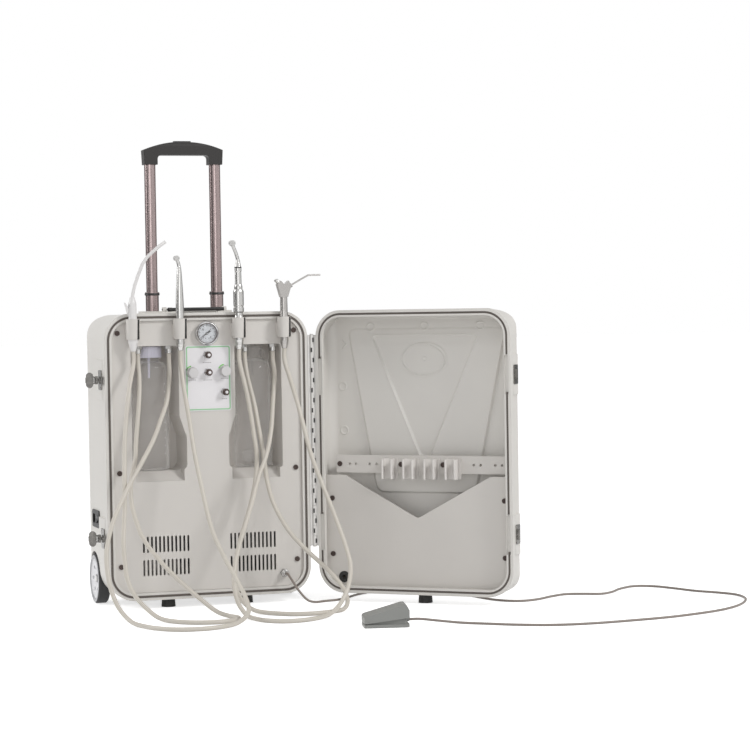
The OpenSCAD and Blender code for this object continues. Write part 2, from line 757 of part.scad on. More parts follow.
module latch_wing_lower() color(c_steel) at_case() translate([-latch_face, latch_y, latch_z[1]]) latch_wing();

// ---------------------------------------------------------------- piano hinge

hinge_z = foot_h + hinge_up;
hinge_h = case_h - 134.2;
knuckle = hinge_h / knuckle_n;
leaf_t = 1.5;

module hinge_knuckles(odd) {
    for (i = [0 : knuckle_n - 1]) if (i % 2 == odd) translate([0, 0, hinge_z + i * knuckle]) zcyl(knuckle_r, 0.15, knuckle - 0.15);
}

// One leaf, drawn with its half to the left of the axis
module hinge_leaf(odd) {
    leaf_x = -hinge_gap + band_out;
    difference() {
        union() {
            hinge_knuckles(odd);
            translate([leaf_x, -leaf_t / 2, hinge_z]) cube([-leaf_x, leaf_t, hinge_h]);
            translate([leaf_x, -leaf_t / 2, hinge_z]) cube([leaf_t, band_d - 4, hinge_h]);
        }
        for (i = [0 : knuckle_n - 1]) if (i % 2 != odd)
            translate([-knuckle_r - 0.6, -2, hinge_z + i * knuckle - 0.15]) cube([knuckle_r * 2 + 2, 4, knuckle + 0.3]);
        zcyl(pin_r + run, hinge_z - 1, hinge_z + hinge_h + 1);
        for (i = [1 : 4 : knuckle_n - 1]) translate([leaf_x, band_d / 2, hinge_z + (i + 0.5) * knuckle]) xcyl(1.8, -1, 3);
    }
}

module at_hinge() { translate([hinge_x, hinge_y, 0]) children(); }

module hinge_leaf_case() color(c_steel) at_hinge() hinge_leaf(0);

module hinge_leaf_lid() color(c_steel) at_hinge() rotate([0, 0, lid_open - 180]) mirror([1, 0, 0]) hinge_leaf(1);

module hinge_pin() color(c_steel) at_hinge() {
    zcyl(pin_r, hinge_z - 1, hinge_z + hinge_h + 1);
    for (z = [hinge_z - 2, hinge_z + hinge_h + 0.2]) zcyl(pin_r + 1.5, z, z + 1.8);
}

// ---------------------------------------------------------------- lid half

press = 3;
trap_z = [mid_z - 5, top_z - 50];
trap_w = [9, case_w / 2 - 92];
plateau_z = [foot_h + 193, top_z - 43];
plateau_w = [case_w / 2 - 82, case_w / 2 - 39];
rail_y = 28;
rail_t = 3;
rail_z = [mid_z - 43, mid_z - 8];
rail_x = [26 - case_w / 2, case_w / 2 - 14];
rail_screw_x = [rail_x[0] + 8, -36, 52];
pocket_y = 20;
pocket_t = 3;
pocket_top = rail_z[0] - 4;
pocket_dip = pocket_top - 80;
pocket_v = case_w / 2 - 48;
pocket_screws = [for (s = [-1, 1], z = [pocket_top - 46, foot_h + 72]) [s * (case_w / 2 - 20), z]];
boss_r = 7;

// Pressed outline on the lid's back, inset by g
module taper(w, z, g) {
    polygon([[-w[0] + g, z[0] + g], [w[0] - g, z[0] + g], [w[1] - g, z[1] - g], [-w[1] + g, z[1] - g]]);
}

module lid_shell() color(c_shell) at_lid() {
    in_w = case_w - 2 * wall;
    in_h = case_h - 2 * wall;
    skin = lid_d - press;
    floor_y = skin - wall;
    front_cut = rim_in - 1;
    difference() {
        union() {
            difference() {
                union() {
                    intersection() {
                        half_block(case_w, case_h, skin, corner_r, lid_edge_r);
                        translate([-case_w, 0, 0]) cube([2 * case_w, body_d, top_z]);
                    }
                    front_prism(case_w + 2 * band_out, case_h + 2 * band_out, corner_r + band_out, 0, band_d - 8);
                    plate_xz(skin - 2, lid_d) taper(plateau_w, plateau_z, 0);
                    for (z = latch_z) translate([case_w / 2, band_d - 8, z - pad_h / 2]) cube([pad_t, skin - lid_edge_r - band_d + 8, pad_h]);
                }
                intersection() {
                    half_block(in_w, in_h, floor_y, corner_r - wall, lid_edge_r - wall);
                    translate([-case_w, rim_d - 3, 0]) cube([2 * case_w, body_d, top_z]);
                }
                plate_xz(floor_y - 1, floor_y + press) taper(plateau_w, plateau_z, press);
            }
            plate_xz(floor_y, skin) taper(trap_w, trap_z, 0);
            for (p = pocket_screws) translate([p[0], 0, p[1]]) ycyl(boss_r, pocket_y + pocket_t, floor_y + 2);
            for (x = rail_screw_x) translate([x, 0, (rail_z[0] + rail_z[1]) / 2]) ycyl(boss_r, rail_y + rail_t, floor_y + 4);
            translate([0, 0, top_z - 99]) difference() {
                plate_xz(floor_y - 1.5, floor_y + 1) scale([1.4, 1]) circle(33);
                plate_xz(floor_y - 3, floor_y) scale([1.4, 1]) circle(30);
            }
        }
        plate_xz(skin, lid_d + 1) taper([trap_w[0] + 1, trap_w[1] + 1], trap_z, 0);
        front_prism(case_w - 2 * front_cut, case_h - 2 * front_cut, corner_r - front_cut, -1, rim_d);
        rim_ring(groove_w, -1, groove_d);
        for (z = latch_z, s = [-1, 1]) translate([s * (case_w / 2 - groove_in - 1), 0, z]) cube([groove_w + 4, 2 * groove_d, 74], center = true);
        for (p = pocket_screws) translate([p[0], 0, p[1]]) ycyl(screw_r, pocket_y, pocket_y + pocket_t + 12);
        for (x = rail_screw_x) translate([x, 0, (rail_z[0] + rail_z[1]) / 2]) ycyl(screw_r, rail_y, rail_y + rail_t + 12);
        translate([grommet_at[0], 0, grommet_at[1]]) ycyl(grommet_r, pocket_y, lid_d + 1);
    }
}

module clip_rail() color(c_steel) at_lid() {
    zc = (rail_z[0] + rail_z[1]) / 2;
    difference() {
        translate([rail_x[0], rail_y, rail_z[0]]) cube([rail_x[1] - rail_x[0], rail_t, rail_z[1] - rail_z[0]]);
        for (x = [for (d = [29, 42, 71, 86]) rail_x[0] + d, for (d = [71, 57, 27, 13]) rail_x[1] - d]) translate([x, 0, zc]) ycyl(2.6, rail_y - 1, rail_y + rail_t + 1);
        for (x = rail_screw_x) translate([x, 0, zc]) ycyl(screw_r, rail_y - 1, rail_y + rail_t + 1);
    }
}

clip_n = 4;
clip_pitch = 44;
clip_mid = 8;
clip_r = 10;
clip_z = [rail_z[0] - 10, rail_z[0] + 29];
clip_y = rail_y - clip_r - 2.8;

module hose_clips() color(c_white) at_lid() for (i = [0 : clip_n - 1])
    translate([clip_mid + (i - (clip_n - 1) / 2) * clip_pitch, 0, clip_z[0]]) linear_extrude(clip_z[1] - clip_z[0]) {
        translate([-15, rail_y - 2.4]) square([30, 2.4]);
        translate([0, clip_y]) difference() {
            circle(clip_r + 2.5);
            circle(clip_r);
            polygon([[0, 0], [-24, -22], [24, -22]]);
        }
        for (s = [-1, 1]) translate([s * 9.4, clip_y - 9]) circle(2.2);
    }

module pocket_panel() color(c_panel) at_lid() {
    half_w = case_w / 2 - wall - seat;
    base = bottom_in + seat;
    difference() {
        intersection() {
            front_prism(2 * half_w, case_h - 2 * wall - 2 * seat, corner_r - wall, pocket_y, pocket_y + pocket_t);
            plate_xz(pocket_y, pocket_y + pocket_t) polygon([
                [-half_w, base], [half_w, base], [half_w, pocket_top], [pocket_v, pocket_top],
                [6, pocket_dip], [0, pocket_dip - 2], [-6, pocket_dip], [-pocket_v, pocket_top], [-half_w, pocket_top]
            ]);
        }
        for (p = pocket_screws) translate([p[0], 0, p[1]]) ycyl(screw_r, pocket_y - 1, pocket_y + pocket_t + 1);
        translate([grommet_at[0], 0, grommet_at[1]]) ycyl(grommet_r, pocket_y - 1, pocket_y + pocket_t + 1);
    }
}

module lid_screws() color(c_black) at_lid() {
    for (p = pocket_screws) translate([p[0], 0, p[1]]) cap_screw(pocket_y);
    for (x = rail_screw_x) translate([x, 0, (rail_z[0] + rail_z[1]) / 2]) cap_screw(rail_y);
}

module latch_catches() color(c_steel) at_lid() for (z = latch_z) translate([case_w / 2 + pad_t, band_d - 8, z]) {
    bar_yz(0, 2) translate([12, 0]) rrect(22, 37, 3);
    translate([2, 4, -10]) cube([4.5, 2, 20]);
    translate([5, 4, -10]) cube([1.5, 6, 20]);
}

grommet_at = [43 - case_w / 2, foot_h + 27];
grommet_r = 8;

module lid_rubbers() color(c_black) at_lid() {
    translate([10, 30, 0]) rubber_foot();
    translate([grommet_at[0], 0, grommet_at[1]]) difference() {
        union() {
            ycyl(grommet_r, pocket_y, pocket_y + pocket_t);
            ycyl(grommet_r + 3, pocket_y - 2, pocket_y);
        }
        ycyl(4, pocket_y - 3, pocket_y + pocket_t + 1);
    }
}

// ---------------------------------------------------------------- instruments

body_r = holder_r - seat;
hang_z = top_z - 70;

// Each instrument is drawn with its hose end at height 0
module at_holder(x) { at_case() translate([x, holder_y, hang_z]) children(); }

// Round handle: a turned profile of radius and height pairs from the hose end up
module turned(p) { rotate_extrude() polygon(concat([[0, p[0][1]]], p, [[0, p[len(p) - 1][1]]])); }

// Smooth tube along points, with n sides
function unit(v) = v / norm(v);
function spline_at(p, i, t) = let(
    a = p[max(i - 1, 0)],
    b = p[i],
    c = p[i + 1],
    d = p[min(i + 2, len(p) - 1)],
    m0 = (c - a) / 2,
    m1 = (d - b) / 2
) b * (2 * t * t * t - 3 * t * t + 1) + m0 * (t * t * t - 2 * t * t + t) + c * (3 * t * t - 2 * t * t * t) + m1 * (t * t * t - t * t);
function dense(p, k) = concat([for (i = [0 : len(p) - 2], j = [0 : k - 1]) spline_at(p, i, j / k)], [p[len(p) - 1]]);
function run_sum(p, i = 0, s = 0) = i >= len(p) - 1 ? [s] : concat([s], run_sum(p, i + 1, s + norm(p[i + 1] - p[i])));
function find_step(s, x, i = 0) = i >= len(s) - 2 || s[i + 1] > x ? i : find_step(s, x, i + 1);
function resampled(p, n) = let(s = run_sum(p), total = s[len(s) - 1]) [
    for (k = [0 : n]) let(x = total * k / n, i = find_step(s, x), f = min(1, (x - s[i]) / (s[i + 1] - s[i]))) p[i] + (p[i + 1] - p[i]) * f
];
function tangents(p) = [for (i = [0 : len(p) - 1]) unit(p[min(i + 1, len(p) - 1)] - p[max(i - 1, 0)])];
function carry_normals(t, i, n) = i >= len(t) ? [] : let(m = unit(n - t[i] * (n * t[i]))) concat([m], carry_normals(t, i + 1, m));

// Round tube along points; ends gives the directions that its two ends are square to
module swept(p, r, sides, ends = []) {
    tt = tangents(p);
    t = len(ends) == 0 ? tt : concat([ends[0]], [for (i = [1 : len(tt) - 2]) tt[i]], [ends[1]]);
    first = abs(t[0].z) > 0.7 ? [1, 0, 0] : [0, 0, 1];
    nn = carry_normals(t, 0, first);
    rings = [for (i = [0 : len(p) - 1], k = [0 : sides - 1])
        p[i] + r * (cos(360 * k / sides) * nn[i] + sin(360 * k / sides) * cross(t[i], nn[i]))];
    last = (len(p) - 1) * sides;
    polyhedron(rings, concat(
        [[for (k = [0 : sides - 1]) k]],
        [for (i = [0 : len(p) - 2], k = [0 : sides - 1]) let(a = i * sides + k, b = i * sides + (k + 1) % sides) [a, a + sides, b]],
        [for (i = [0 : len(p) - 2], k = [0 : sides - 1]) let(a = i * sides + k, b = i * sides + (k + 1) % sides) [b, a + sides, b + sides]],
        [[for (k = [sides - 1 : -1 : 0]) last + k]]
    ));
}

// A route never sinks into the floor
function laid(p, r) = [for (q = p) [q.x, q.y, max(q.z, r + 0.1)]];

module hose(route, d, rings) {
    n = len(route);
    ends = [unit(route[1] - route[0]), unit(route[n - 1] - route[n - 2])];
    swept(resampled(laid(dense(route, 8), d / 2), rings), d / 2, 8, ends);
}

lever_z = 76;
lever_x = -5;

module suction_handpiece() color(c_white) at_holder(holder_x[0]) {
    difference() {
        turned([[5, 0], [7, 8], [body_r - 1.5, 14], [body_r, 18], [body_r, 57], [8.4, 64], [8, 70], [7.8, 92], [5.8, 99], [5, 104]]);
        translate([-12, -2.9, lever_z - 14]) cube([13, 5.8, 28]);
    }
    translate([lever_x, 0, lever_z]) ycyl(1.6, -5.8, 5.8);
    swept([[0, 0, 103], [1, 0, 110], [5, 0, 126], [11, 0, 143], [21, 0, 167], [31, 0, 181], [42, 0, 191], [54, 0, 201], [67, 0, 210]], 3.3, 10);
}

module suction_lever() color(c_steel) at_holder(holder_x[0]) translate([lever_x, 0, lever_z]) difference() {
    union() {
        ycyl(3.4, -2.6, 2.6);
        plate_xz(-2.6, 2.6) polygon([[-1, 3], [-8, 17], [-11, 18], [-7, 1], [-3.2, -9], [-0.5, -9], [2, -1]]);
    }
    ycyl(1.6 + run, -5, 5);
}

module head(r, l, z) { translate([0, 0, z]) ycyl(r, -l, l * 0.6); }

module turbine_handpiece() color(c_steel) at_holder(holder_x[1]) {
    turned([[5, 0], [7, 6], [8, 12], [body_r - 1.6, 16], [body_r - 1.6, 58], [8.2, 62], [7.8, 90], [6.5, 120], [5, 145], [3.8, 161]]);
    swept([[0, 0, 160], [-0.5, 0, 165], [-2, 0, 170], [-4, 0, 175]], 3.4, 12);
    translate([-5, 0, 178]) rotate([0, -14, 0]) {
        ycyl(5, -6.5, 6.5);
        ycyl(4, 6.5, 8);
        ycyl(0.8, -18, -6.5);
    }
}

module air_motor() color(c_steel) at_holder(holder_x[2]) {
    turned([[5, 0], [7, 8], [body_r - 2.2, 14], [body_r - 1.2, 18], [body_r - 1.2, 62], [8, 66], [8, 71], [10.2, 73],
        [10.2, 80], [9.4, 81], [9.4, 84], [10.2, 85], [10.2, 112], [9, 116], [3.2, 116], [3.2, 132]]);
}

module contra_angle() color(c_steel) at_holder(holder_x[2]) {
    difference() {
        turned([[8, 116.3], [8, 122], [6.6, 126], [6.2, 150], [6.8, 152], [6.8, 158], [6, 160], [4.6, 168], [3.6, 174]]);
        zcyl(3.2 + run, 115, 133);
    }
    swept([[0, 0, 173], [-1, 0, 178], [-3.5, 0, 186], [-7, 0, 195], [-10, 0, 202]], 3.5, 12);
    translate([-11, 0, 206]) rotate([0, -20, 0]) {
        ycyl(5.5, -7, 7);
        ycyl(4.2, 7, 8.5);
        ycyl(0.9, -20, -7);
    }
}

syringe_z = 106;
button_r = 3.2;

module syringe_body() color(c_white) at_holder(holder_x[3]) {
    turned([[5, 0], [7, 8], [body_r - 2, 14], [body_r - 1.6, 60], [7.4, 72], [7, syringe_z]]);
    difference() {
        plate_xz(-8, 8) union() {
            polygon([[-7, syringe_z - 6], [7, syringe_z - 6], [14, 122], [9, 132], [1, 124], [-7, 132], [-14, 125]]);
        }
        for (y = [-4, 4]) translate([-11, y, 129]) rotate([0, -45, 0]) zcyl(button_r + 0.1, -6, 8);
    }
    swept([[9, 0, 119.6], [17, 0, 124], [33, 0, 133], [50, 0, 142], [62, 0, 142.3], [75, 0, 142.5]], 1.8, 8);
    translate([9, 0, 119.6]) rotate([0, 61, 0]) zcyl(4.5, -1, 8);
}

module syringe_button(y) {
    at_holder(holder_x[3]) translate([-11, y, 129]) rotate([0, -45, 0]) {
        zcyl(button_r, -3, 6);
        translate([0, 0, 6]) cylinder(r1 = button_r, r2 = button_r - 0.8, h = 1.2);
    }
}

module syringe_air_button() color(c_steel) syringe_button(-4);

module syringe_water_button() color(c_steel) syringe_button(4);

// ---------------------------------------------------------------- free hoses and the foot control

// Ends of a hose: straight down from its gland, and straight up into its instrument
function drop(x) = [for (d = [14, 31]) [case_x + x, hinge_y + gland_y, alcove_top - d]];
function rise(x) = [for (d = [25, 0]) [case_x + x, hinge_y + holder_y, hang_z - d]];

// Routes of the hoses, from the gland down, over the floor and up to the instrument
suction_route = concat(drop(gland_x[0]), [
    [-295.5, 38, 448], [-300.5, 20, 406], [-311.5, 2, 331], [-315.5, -6, 295],
    [-325.5, -15, 259], [-329.5, -25, 224], [-325.5, -37, 188], [-312.5, -54, 145], [-285.5, -80, 103], [-253.5, -108, 65],
    [-221.5, -132, 34], [-195.5, -150, 12], [-173.5, -170, 4.4], [-165.5, -196, 4.4], [-179.5, -224, 4.4], [-213.5, -238, 4.4],
    [-253.5, -230, 4.4], [-285.5, -202, 4.4], [-309.5, -164, 8], [-329.5, -134, 26], [-345.5, -116, 48], [-355.5, -104, 76],
    [-357.5, -94, 109], [-357.5, -84, 144], [-349.5, -62, 214], [-341.5, -36, 333], [-326.5, -12, 427]
], rise(holder_x[0]));
turbine_route = concat(drop(gland_x[1]), [
    [-236.5, 37, 447], [-246.5, 16, 405], [-263.5, -2, 368], [-282.5, -18, 330],
    [-309.5, -38, 290], [-336.5, -60, 254], [-374.5, -90, 192], [-392.5, -110, 147], [-398.5, -124, 113], [-396.5, -142, 70],
    [-385.5, -162, 32], [-369.5, -190, 9], [-357.5, -228, 4.4], [-341.5, -272, 4.4], [-309.5, -308, 4.4], [-261.5, -318, 4.4],
    [-219.5, -302, 4.4], [-183.5, -272, 7], [-157.5, -238, 20], [-153.5, -204, 42], [-163.5, -166, 78], [-177.5, -134, 116],
    [-191.5, -104, 163], [-200.5, -72, 233], [-207.5, -42, 304], [-211.5, -20, 367], [-217, -2, 428]
], rise(holder_x[1]));
motor_route = concat(drop(gland_x[2]), [
    [-80, 37, 445], [-73, 17, 394], [-67.5, 6, 347], [-63.5, -2, 311],
    [-60.5, -9, 275], [-57.5, -16, 240], [-47.5, -28, 196], [-25.5, -50, 148], [4.5, -72, 110], [36.5, -94, 76],
    [58.5, -114, 46], [64.5, -136, 20], [50.5, -160, 6], [20.5, -182, 4.4], [-19.5, -194, 4.4], [-59.5, -186, 4.4],
    [-93.5, -154, 4.4], [-117.5, -118, 8], [-133.5, -90, 26], [-139.5, -70, 58], [-125.5, -46, 120], [-95.5, -24, 196],
    [-80.5, -12, 248], [-75.5, -6, 294], [-78.5, -1, 329], [-83.5, 4, 374], [-90.5, 8, 419]
], rise(holder_x[2]));
syringe_route = concat(drop(gland_x[3]), [
    [-25.5, 37, 446], [-36.5, 13, 390], [-45.5, -8, 347], [-56.5, -24, 312],
    [-67.5, -38, 288], [-85.5, -52, 253], [-104.5, -70, 205], [-137.5, -100, 130], [-151.5, -118, 92], [-157.5, -134, 58],
    [-155.5, -152, 28], [-147.5, -180, 8], [-141.5, -214, 4.4], [-129.5, -252, 4.4], [-101.5, -278, 4.4], [-63.5, -278, 4.4],
    [-23.5, -254, 4.4], [8.5, -218, 7], [36.5, -188, 22], [56.5, -170, 50], [65.5, -156, 84], [63.5, -138, 118],
    [50.5, -110, 177], [33.5, -84, 238], [18.5, -58, 298], [5.5, -30, 380], [-3.5, -3, 436]
], rise(holder_x[3]));
tube_route = concat([for (d = [18, 26]) [case_x + coupling_at[0], hinge_y + panel_y - d, coupling_at[1]]], [
    [-8.5, -6, 46], [2.5, -16, 26], [18.5, -20, 8], [38.5, -14, 2.4], [60.5, -4, 2.4],
    [86.5, 4, 2.4], [112.5, 28, 2.4], [153.5, 76, 2.4], [208.5, 112, 2.4], [258.5, 122, 2.4], [308.5, 96, 2.4], [338.5, 30, 2.4],
    [348.5, -50, 2.4], [368.5, -128, 2.4], [402.5, -164, 2.4], [444.5, -156, 2.4], [486.5, -124, 2.4], [526.5, -102, 2.4],
    [560.5, -112, 2.4], [592.5, -126, 2.4], [624.5, -106, 2.4], [658.5, -66, 2.4], [702.5, -36, 2.4], [738.5, -56, 2.4],
    [760.5, -104, 2.4], [780.5, -160, 2.4], [808.5, -204, 2.4], [826.5, -248, 2.4], [820.5, -300, 2.4], [796.5, -350, 2.4],
    [758.5, -400, 2.4], [712.5, -440, 2.4], [658.5, -470, 2.4], [578.5, -500, 2.4], [506.5, -514, 2.4], [413.5, -524, 2.4],
    [339.5, -516, 2.4], [278.5, -486, 2.4], [230.5, -448, 2.4], [192.5, -420, 3], [154.5, -406, 7], [122.5, -399, 11],
    [103, -395, 11]
]);

module suction_hose() color(c_hose) hose(suction_route, hose_d, 72);

module turbine_hose() color(c_hose) hose(turbine_route, hose_d, 72);

module motor_hose() color(c_hose) hose(motor_route, hose_d, 72);

module syringe_hose() color(c_hose) hose(syringe_route, hose_d, 72);

module foot_tube() color(c_pedal) hose(tube_route, tube_d, 80);

pedal_at = [60.5, -386];
pedal_turn = -12;
pivot_at = [-34, 12];
base_t = 6;

module at_pedal() { translate([pedal_at[0], pedal_at[1], 0]) rotate([0, 0, pedal_turn]) children(); }

module pedal_base() color(c_pedal) at_pedal() {
    in_w = pedal_w - 9;
    difference() {
        union() {
            linear_extrude(base_t) rrect(pedal_l, pedal_w, 5);
            translate([0, 0, base_t]) linear_extrude(9) rrect(pedal_l - 9, in_w, 4);
        }
        translate([0, 0, base_t]) linear_extrude(20) rrect(pedal_l - 15, in_w - 6, 2);
        translate([pivot_at[0], 0, pivot_at[1]]) ycyl(2, -pedal_w, pedal_w);
    }
    translate([pivot_at[0], 0, pivot_at[1]]) ycyl(2, -in_w / 2 - 4.4, in_w / 2 + 4.4);
    translate([12, -11, base_t]) cube([22, 22, 10]);
    translate([0, 0, 11]) xcyl(3.5, pedal_l / 2 - 11, pedal_l / 2 + 2);
}

module pedal_treadle() color(c_pedal) at_pedal() {
    side = [
        [-pedal_l / 2, 7.5], [-pedal_l / 2, 18], [-pedal_l / 2 + 3, 21], [30, pedal_h], [36, pedal_h],
        [pedal_l / 2, pedal_h - 9], [pedal_l / 2, 17]
    ];
    difference() {
        plate_xz(-pedal_w / 2, pedal_w / 2) polygon(side);
        plate_xz(-pedal_w / 2 + 3, pedal_w / 2 - 3) polygon([
            [-pedal_l / 2 + 3, 0], [-pedal_l / 2 + 3, 16], [31, pedal_h - 3], [pedal_l / 2 - 3, pedal_h - 11], [pedal_l / 2 - 3, 0]
        ]);
        translate([pivot_at[0], 0, pivot_at[1]]) ycyl(2 + run, -pedal_w, pedal_w);
        translate([pedal_l / 2 - 6, -6, 8]) cube([10, 12, 18]);
    }
}

case_shell();
rim_gasket();
front_panel();
panel_screws();
control_plate();
valve_manifold();
control_knob_left();
control_knob_right();
pressure_gauge();
gauge_needle();
gauge_glass();
instrument_holders();
hose_glands();
water_bottle();
waste_bottle();
bottle_caps();
air_compressor();
compressor_fan();
air_tank();
mains_inlet();
power_rocker();
top_bezel();
trolley_sleeves();
trolley_stage();
trolley_tubes();
trolley_grip();
grip_button();
carry_handle();
wheel_axle();
wheel_left();
wheel_right();
rubber_feet();
latch_bases();
latch_wing_upper();
latch_wing_lower();
hinge_leaf_case();
hinge_pin();
hinge_leaf_lid();
lid_shell();
clip_rail();
hose_clips();
pocket_panel();
lid_screws();
latch_catches();
lid_rubbers();
suction_handpiece();
suction_lever();
turbine_handpiece();
air_motor();
contra_angle();
syringe_body();
syringe_air_button();
syringe_water_button();
suction_hose();
turbine_hose();
motor_hose();
syringe_hose();
foot_tube();
pedal_base();
pedal_treadle();
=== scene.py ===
import json
import math

import bmesh
import bpy
from mathutils import Matrix, Vector


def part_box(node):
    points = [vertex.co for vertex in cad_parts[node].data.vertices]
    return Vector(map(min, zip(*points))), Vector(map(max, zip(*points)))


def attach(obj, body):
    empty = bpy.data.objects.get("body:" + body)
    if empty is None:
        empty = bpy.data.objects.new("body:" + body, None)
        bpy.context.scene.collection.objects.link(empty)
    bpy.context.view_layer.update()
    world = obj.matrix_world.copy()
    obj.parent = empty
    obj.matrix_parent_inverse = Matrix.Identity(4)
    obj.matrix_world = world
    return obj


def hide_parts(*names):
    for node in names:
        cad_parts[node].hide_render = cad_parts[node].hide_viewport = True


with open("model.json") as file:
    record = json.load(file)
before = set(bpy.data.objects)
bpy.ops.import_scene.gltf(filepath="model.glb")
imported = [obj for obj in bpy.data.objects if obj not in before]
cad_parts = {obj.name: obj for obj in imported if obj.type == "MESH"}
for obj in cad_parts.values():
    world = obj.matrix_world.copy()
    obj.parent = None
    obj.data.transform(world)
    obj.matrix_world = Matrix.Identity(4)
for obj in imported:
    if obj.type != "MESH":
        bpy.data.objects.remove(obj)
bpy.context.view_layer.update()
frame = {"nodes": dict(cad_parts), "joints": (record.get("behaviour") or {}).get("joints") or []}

MM = 0.001
NODES = frame["nodes"]
JOINTS = {joint["name"]: joint for joint in frame["joints"]}

# ---------------------------------------------------------------- places, from the frame

HINGE = Vector(JOINTS["lid_hinge"]["pos_m"])
HALF_STEP = 211 * MM          # from the hinge axis to the middle of a half
LID_TURN = math.radians(-40)
CASE = Matrix.Translation((HINGE.x - HALF_STEP, HINGE.y, 0))
LID = (
    Matrix.Translation((HINGE.x, HINGE.y, 0))
    @ Matrix.Rotation(LID_TURN, 4, "Z")
    @ Matrix.Translation((HALF_STEP, 0, 0))
)


# ---------------------------------------------------------------- camera

CAMERA_AT = Vector((-1.27453, -4.58038, 0.59007))
CAMERA_YAW = math.radians(17.5003)
CAMERA_PITCH = math.radians(-1.749)
CAMERA_ROLL = math.radians(-0.9217)
CAMERA_LENS = 116.874


def make_camera():
    data = bpy.data.cameras.new("camera")
    data.lens = CAMERA_LENS
    data.sensor_width = 36
    data.sensor_fit = "HORIZONTAL"
    data.clip_end = 100
    camera = bpy.data.objects.new("camera", data)
    ahead = Vector((
        math.sin(CAMERA_YAW) * math.cos(CAMERA_PITCH),
        math.cos(CAMERA_YAW) * math.cos(CAMERA_PITCH),
        math.sin(CAMERA_PITCH),
    ))
    right = Vector((math.cos(CAMERA_YAW), -math.sin(CAMERA_YAW), 0))
    up = right.cross(ahead)
    rolled_right = right * math.cos(CAMERA_ROLL) + up * math.sin(CAMERA_ROLL)
    rolled_up = up * math.cos(CAMERA_ROLL) - right * math.sin(CAMERA_ROLL)
    turn = Matrix((rolled_right, rolled_up, -ahead)).transposed().to_4x4()
    camera.matrix_world = Matrix.Translation(CAMERA_AT) @ turn
    bpy.context.scene.collection.objects.link(camera)
    bpy.context.scene.camera = camera


make_camera()

# ---------------------------------------------------------------- materials


def srgb(r, g, b):
    """Linear colour of an 8-bit screen colour."""
    def linear(level):
        return level / 255 / 12.92 if level <= 10 else ((level / 255 + 0.055) / 1.055) ** 2.4

    return (linear(r), linear(g), linear(b), 1)


class Nodes:
    """Small helper that adds and links the nodes of one material."""

    def __init__(self, name):
        self.material = bpy.data.materials.new(name)
        self.material.use_nodes = True
        self.tree = self.material.node_tree
        self.shader = self.tree.nodes["Principled BSDF"]
        self.place = self.add("ShaderNodeTexCoord").outputs["Object"]

    def add(self, kind, **values):
        node = self.tree.nodes.new(kind)
        for key, value in values.items():
            setattr(node, key, value)
        return node

    def link(self, a, b):
        self.tree.links.new(a, b)

    def noise(self, scale, detail=2.0, rough=0.5):
        node = self.add("ShaderNodeTexNoise")
        node.inputs["Scale"].default_value = scale
        node.inputs["Detail"].default_value = detail
        node.inputs["Roughness"].default_value = rough
        self.link(self.place, node.inputs["Vector"])
        return node.outputs["Fac"]

    def spread(self, value, low, high, start=0.3, end=0.7):
        node = self.add("ShaderNodeMapRange")
        node.inputs["From Min"].default_value = start
        node.inputs["From Max"].default_value = end
        node.inputs["To Min"].default_value = low
        node.inputs["To Max"].default_value = high
        self.link(value, node.inputs["Value"])
        return node.outputs["Result"]

    def mix(self, factor, a, b):
        node = self.add("ShaderNodeMix", data_type="RGBA")
        self.link(factor, node.inputs["Factor"])
        for value, socket in ((a, node.inputs["A"]), (b, node.inputs["B"])):
            if isinstance(value, tuple):
                socket.default_value = value
            else:
                self.link(value, socket)
        return node.outputs["Result"]

    def bump(self, height, distance, strength=1.0, normal=None):
        node = self.add("ShaderNodeBump")
        node.inputs["Strength"].default_value = strength
        node.inputs["Distance"].default_value = distance
        self.link(height, node.inputs["Height"])
        if normal is not None:
            self.link(normal, node.inputs["Normal"])
        return node.outputs["Normal"]

    def rounded(self, radius):
        node = self.add("ShaderNodeBevel", samples=4)
        node.inputs["Radius"].default_value = radius
        return node.outputs["Normal"]


def shade(colour, factor):
    return tuple(min(1, c * factor) for c in colour[:3]) + (1,)


def finish(name, colour, rough=0.4, metal=0.0, mottle=0.04, patch=9.0, grain=900.0, depth=0.00003,
           edge=0.0006, coat=0.0, specular=0.5):
    """A moulded, cast or drawn surface: slow colour drift, fine grain and softly rounded edges."""
    n = Nodes(name)
    drift = n.spread(n.noise(patch, 3.0), 0, 1)
    base = n.mix(drift, shade(colour, 1 - mottle), shade(colour, 1 + mottle))
    n.link(base, n.shader.inputs["Base Color"])
    fine = n.noise(grain, 3.0, 0.6)
    n.link(n.spread(fine, rough * 0.85, min(1, rough * 1.15)), n.shader.inputs["Roughness"])
    n.link(n.bump(fine, depth, normal=n.rounded(edge) if edge else None), n.shader.inputs["Normal"])
    n.shader.inputs["Metallic"].default_value = metal
    n.shader.inputs["Coat Weight"].default_value = coat
    n.shader.inputs["Specular IOR Level"].default_value = specular
    return n.material


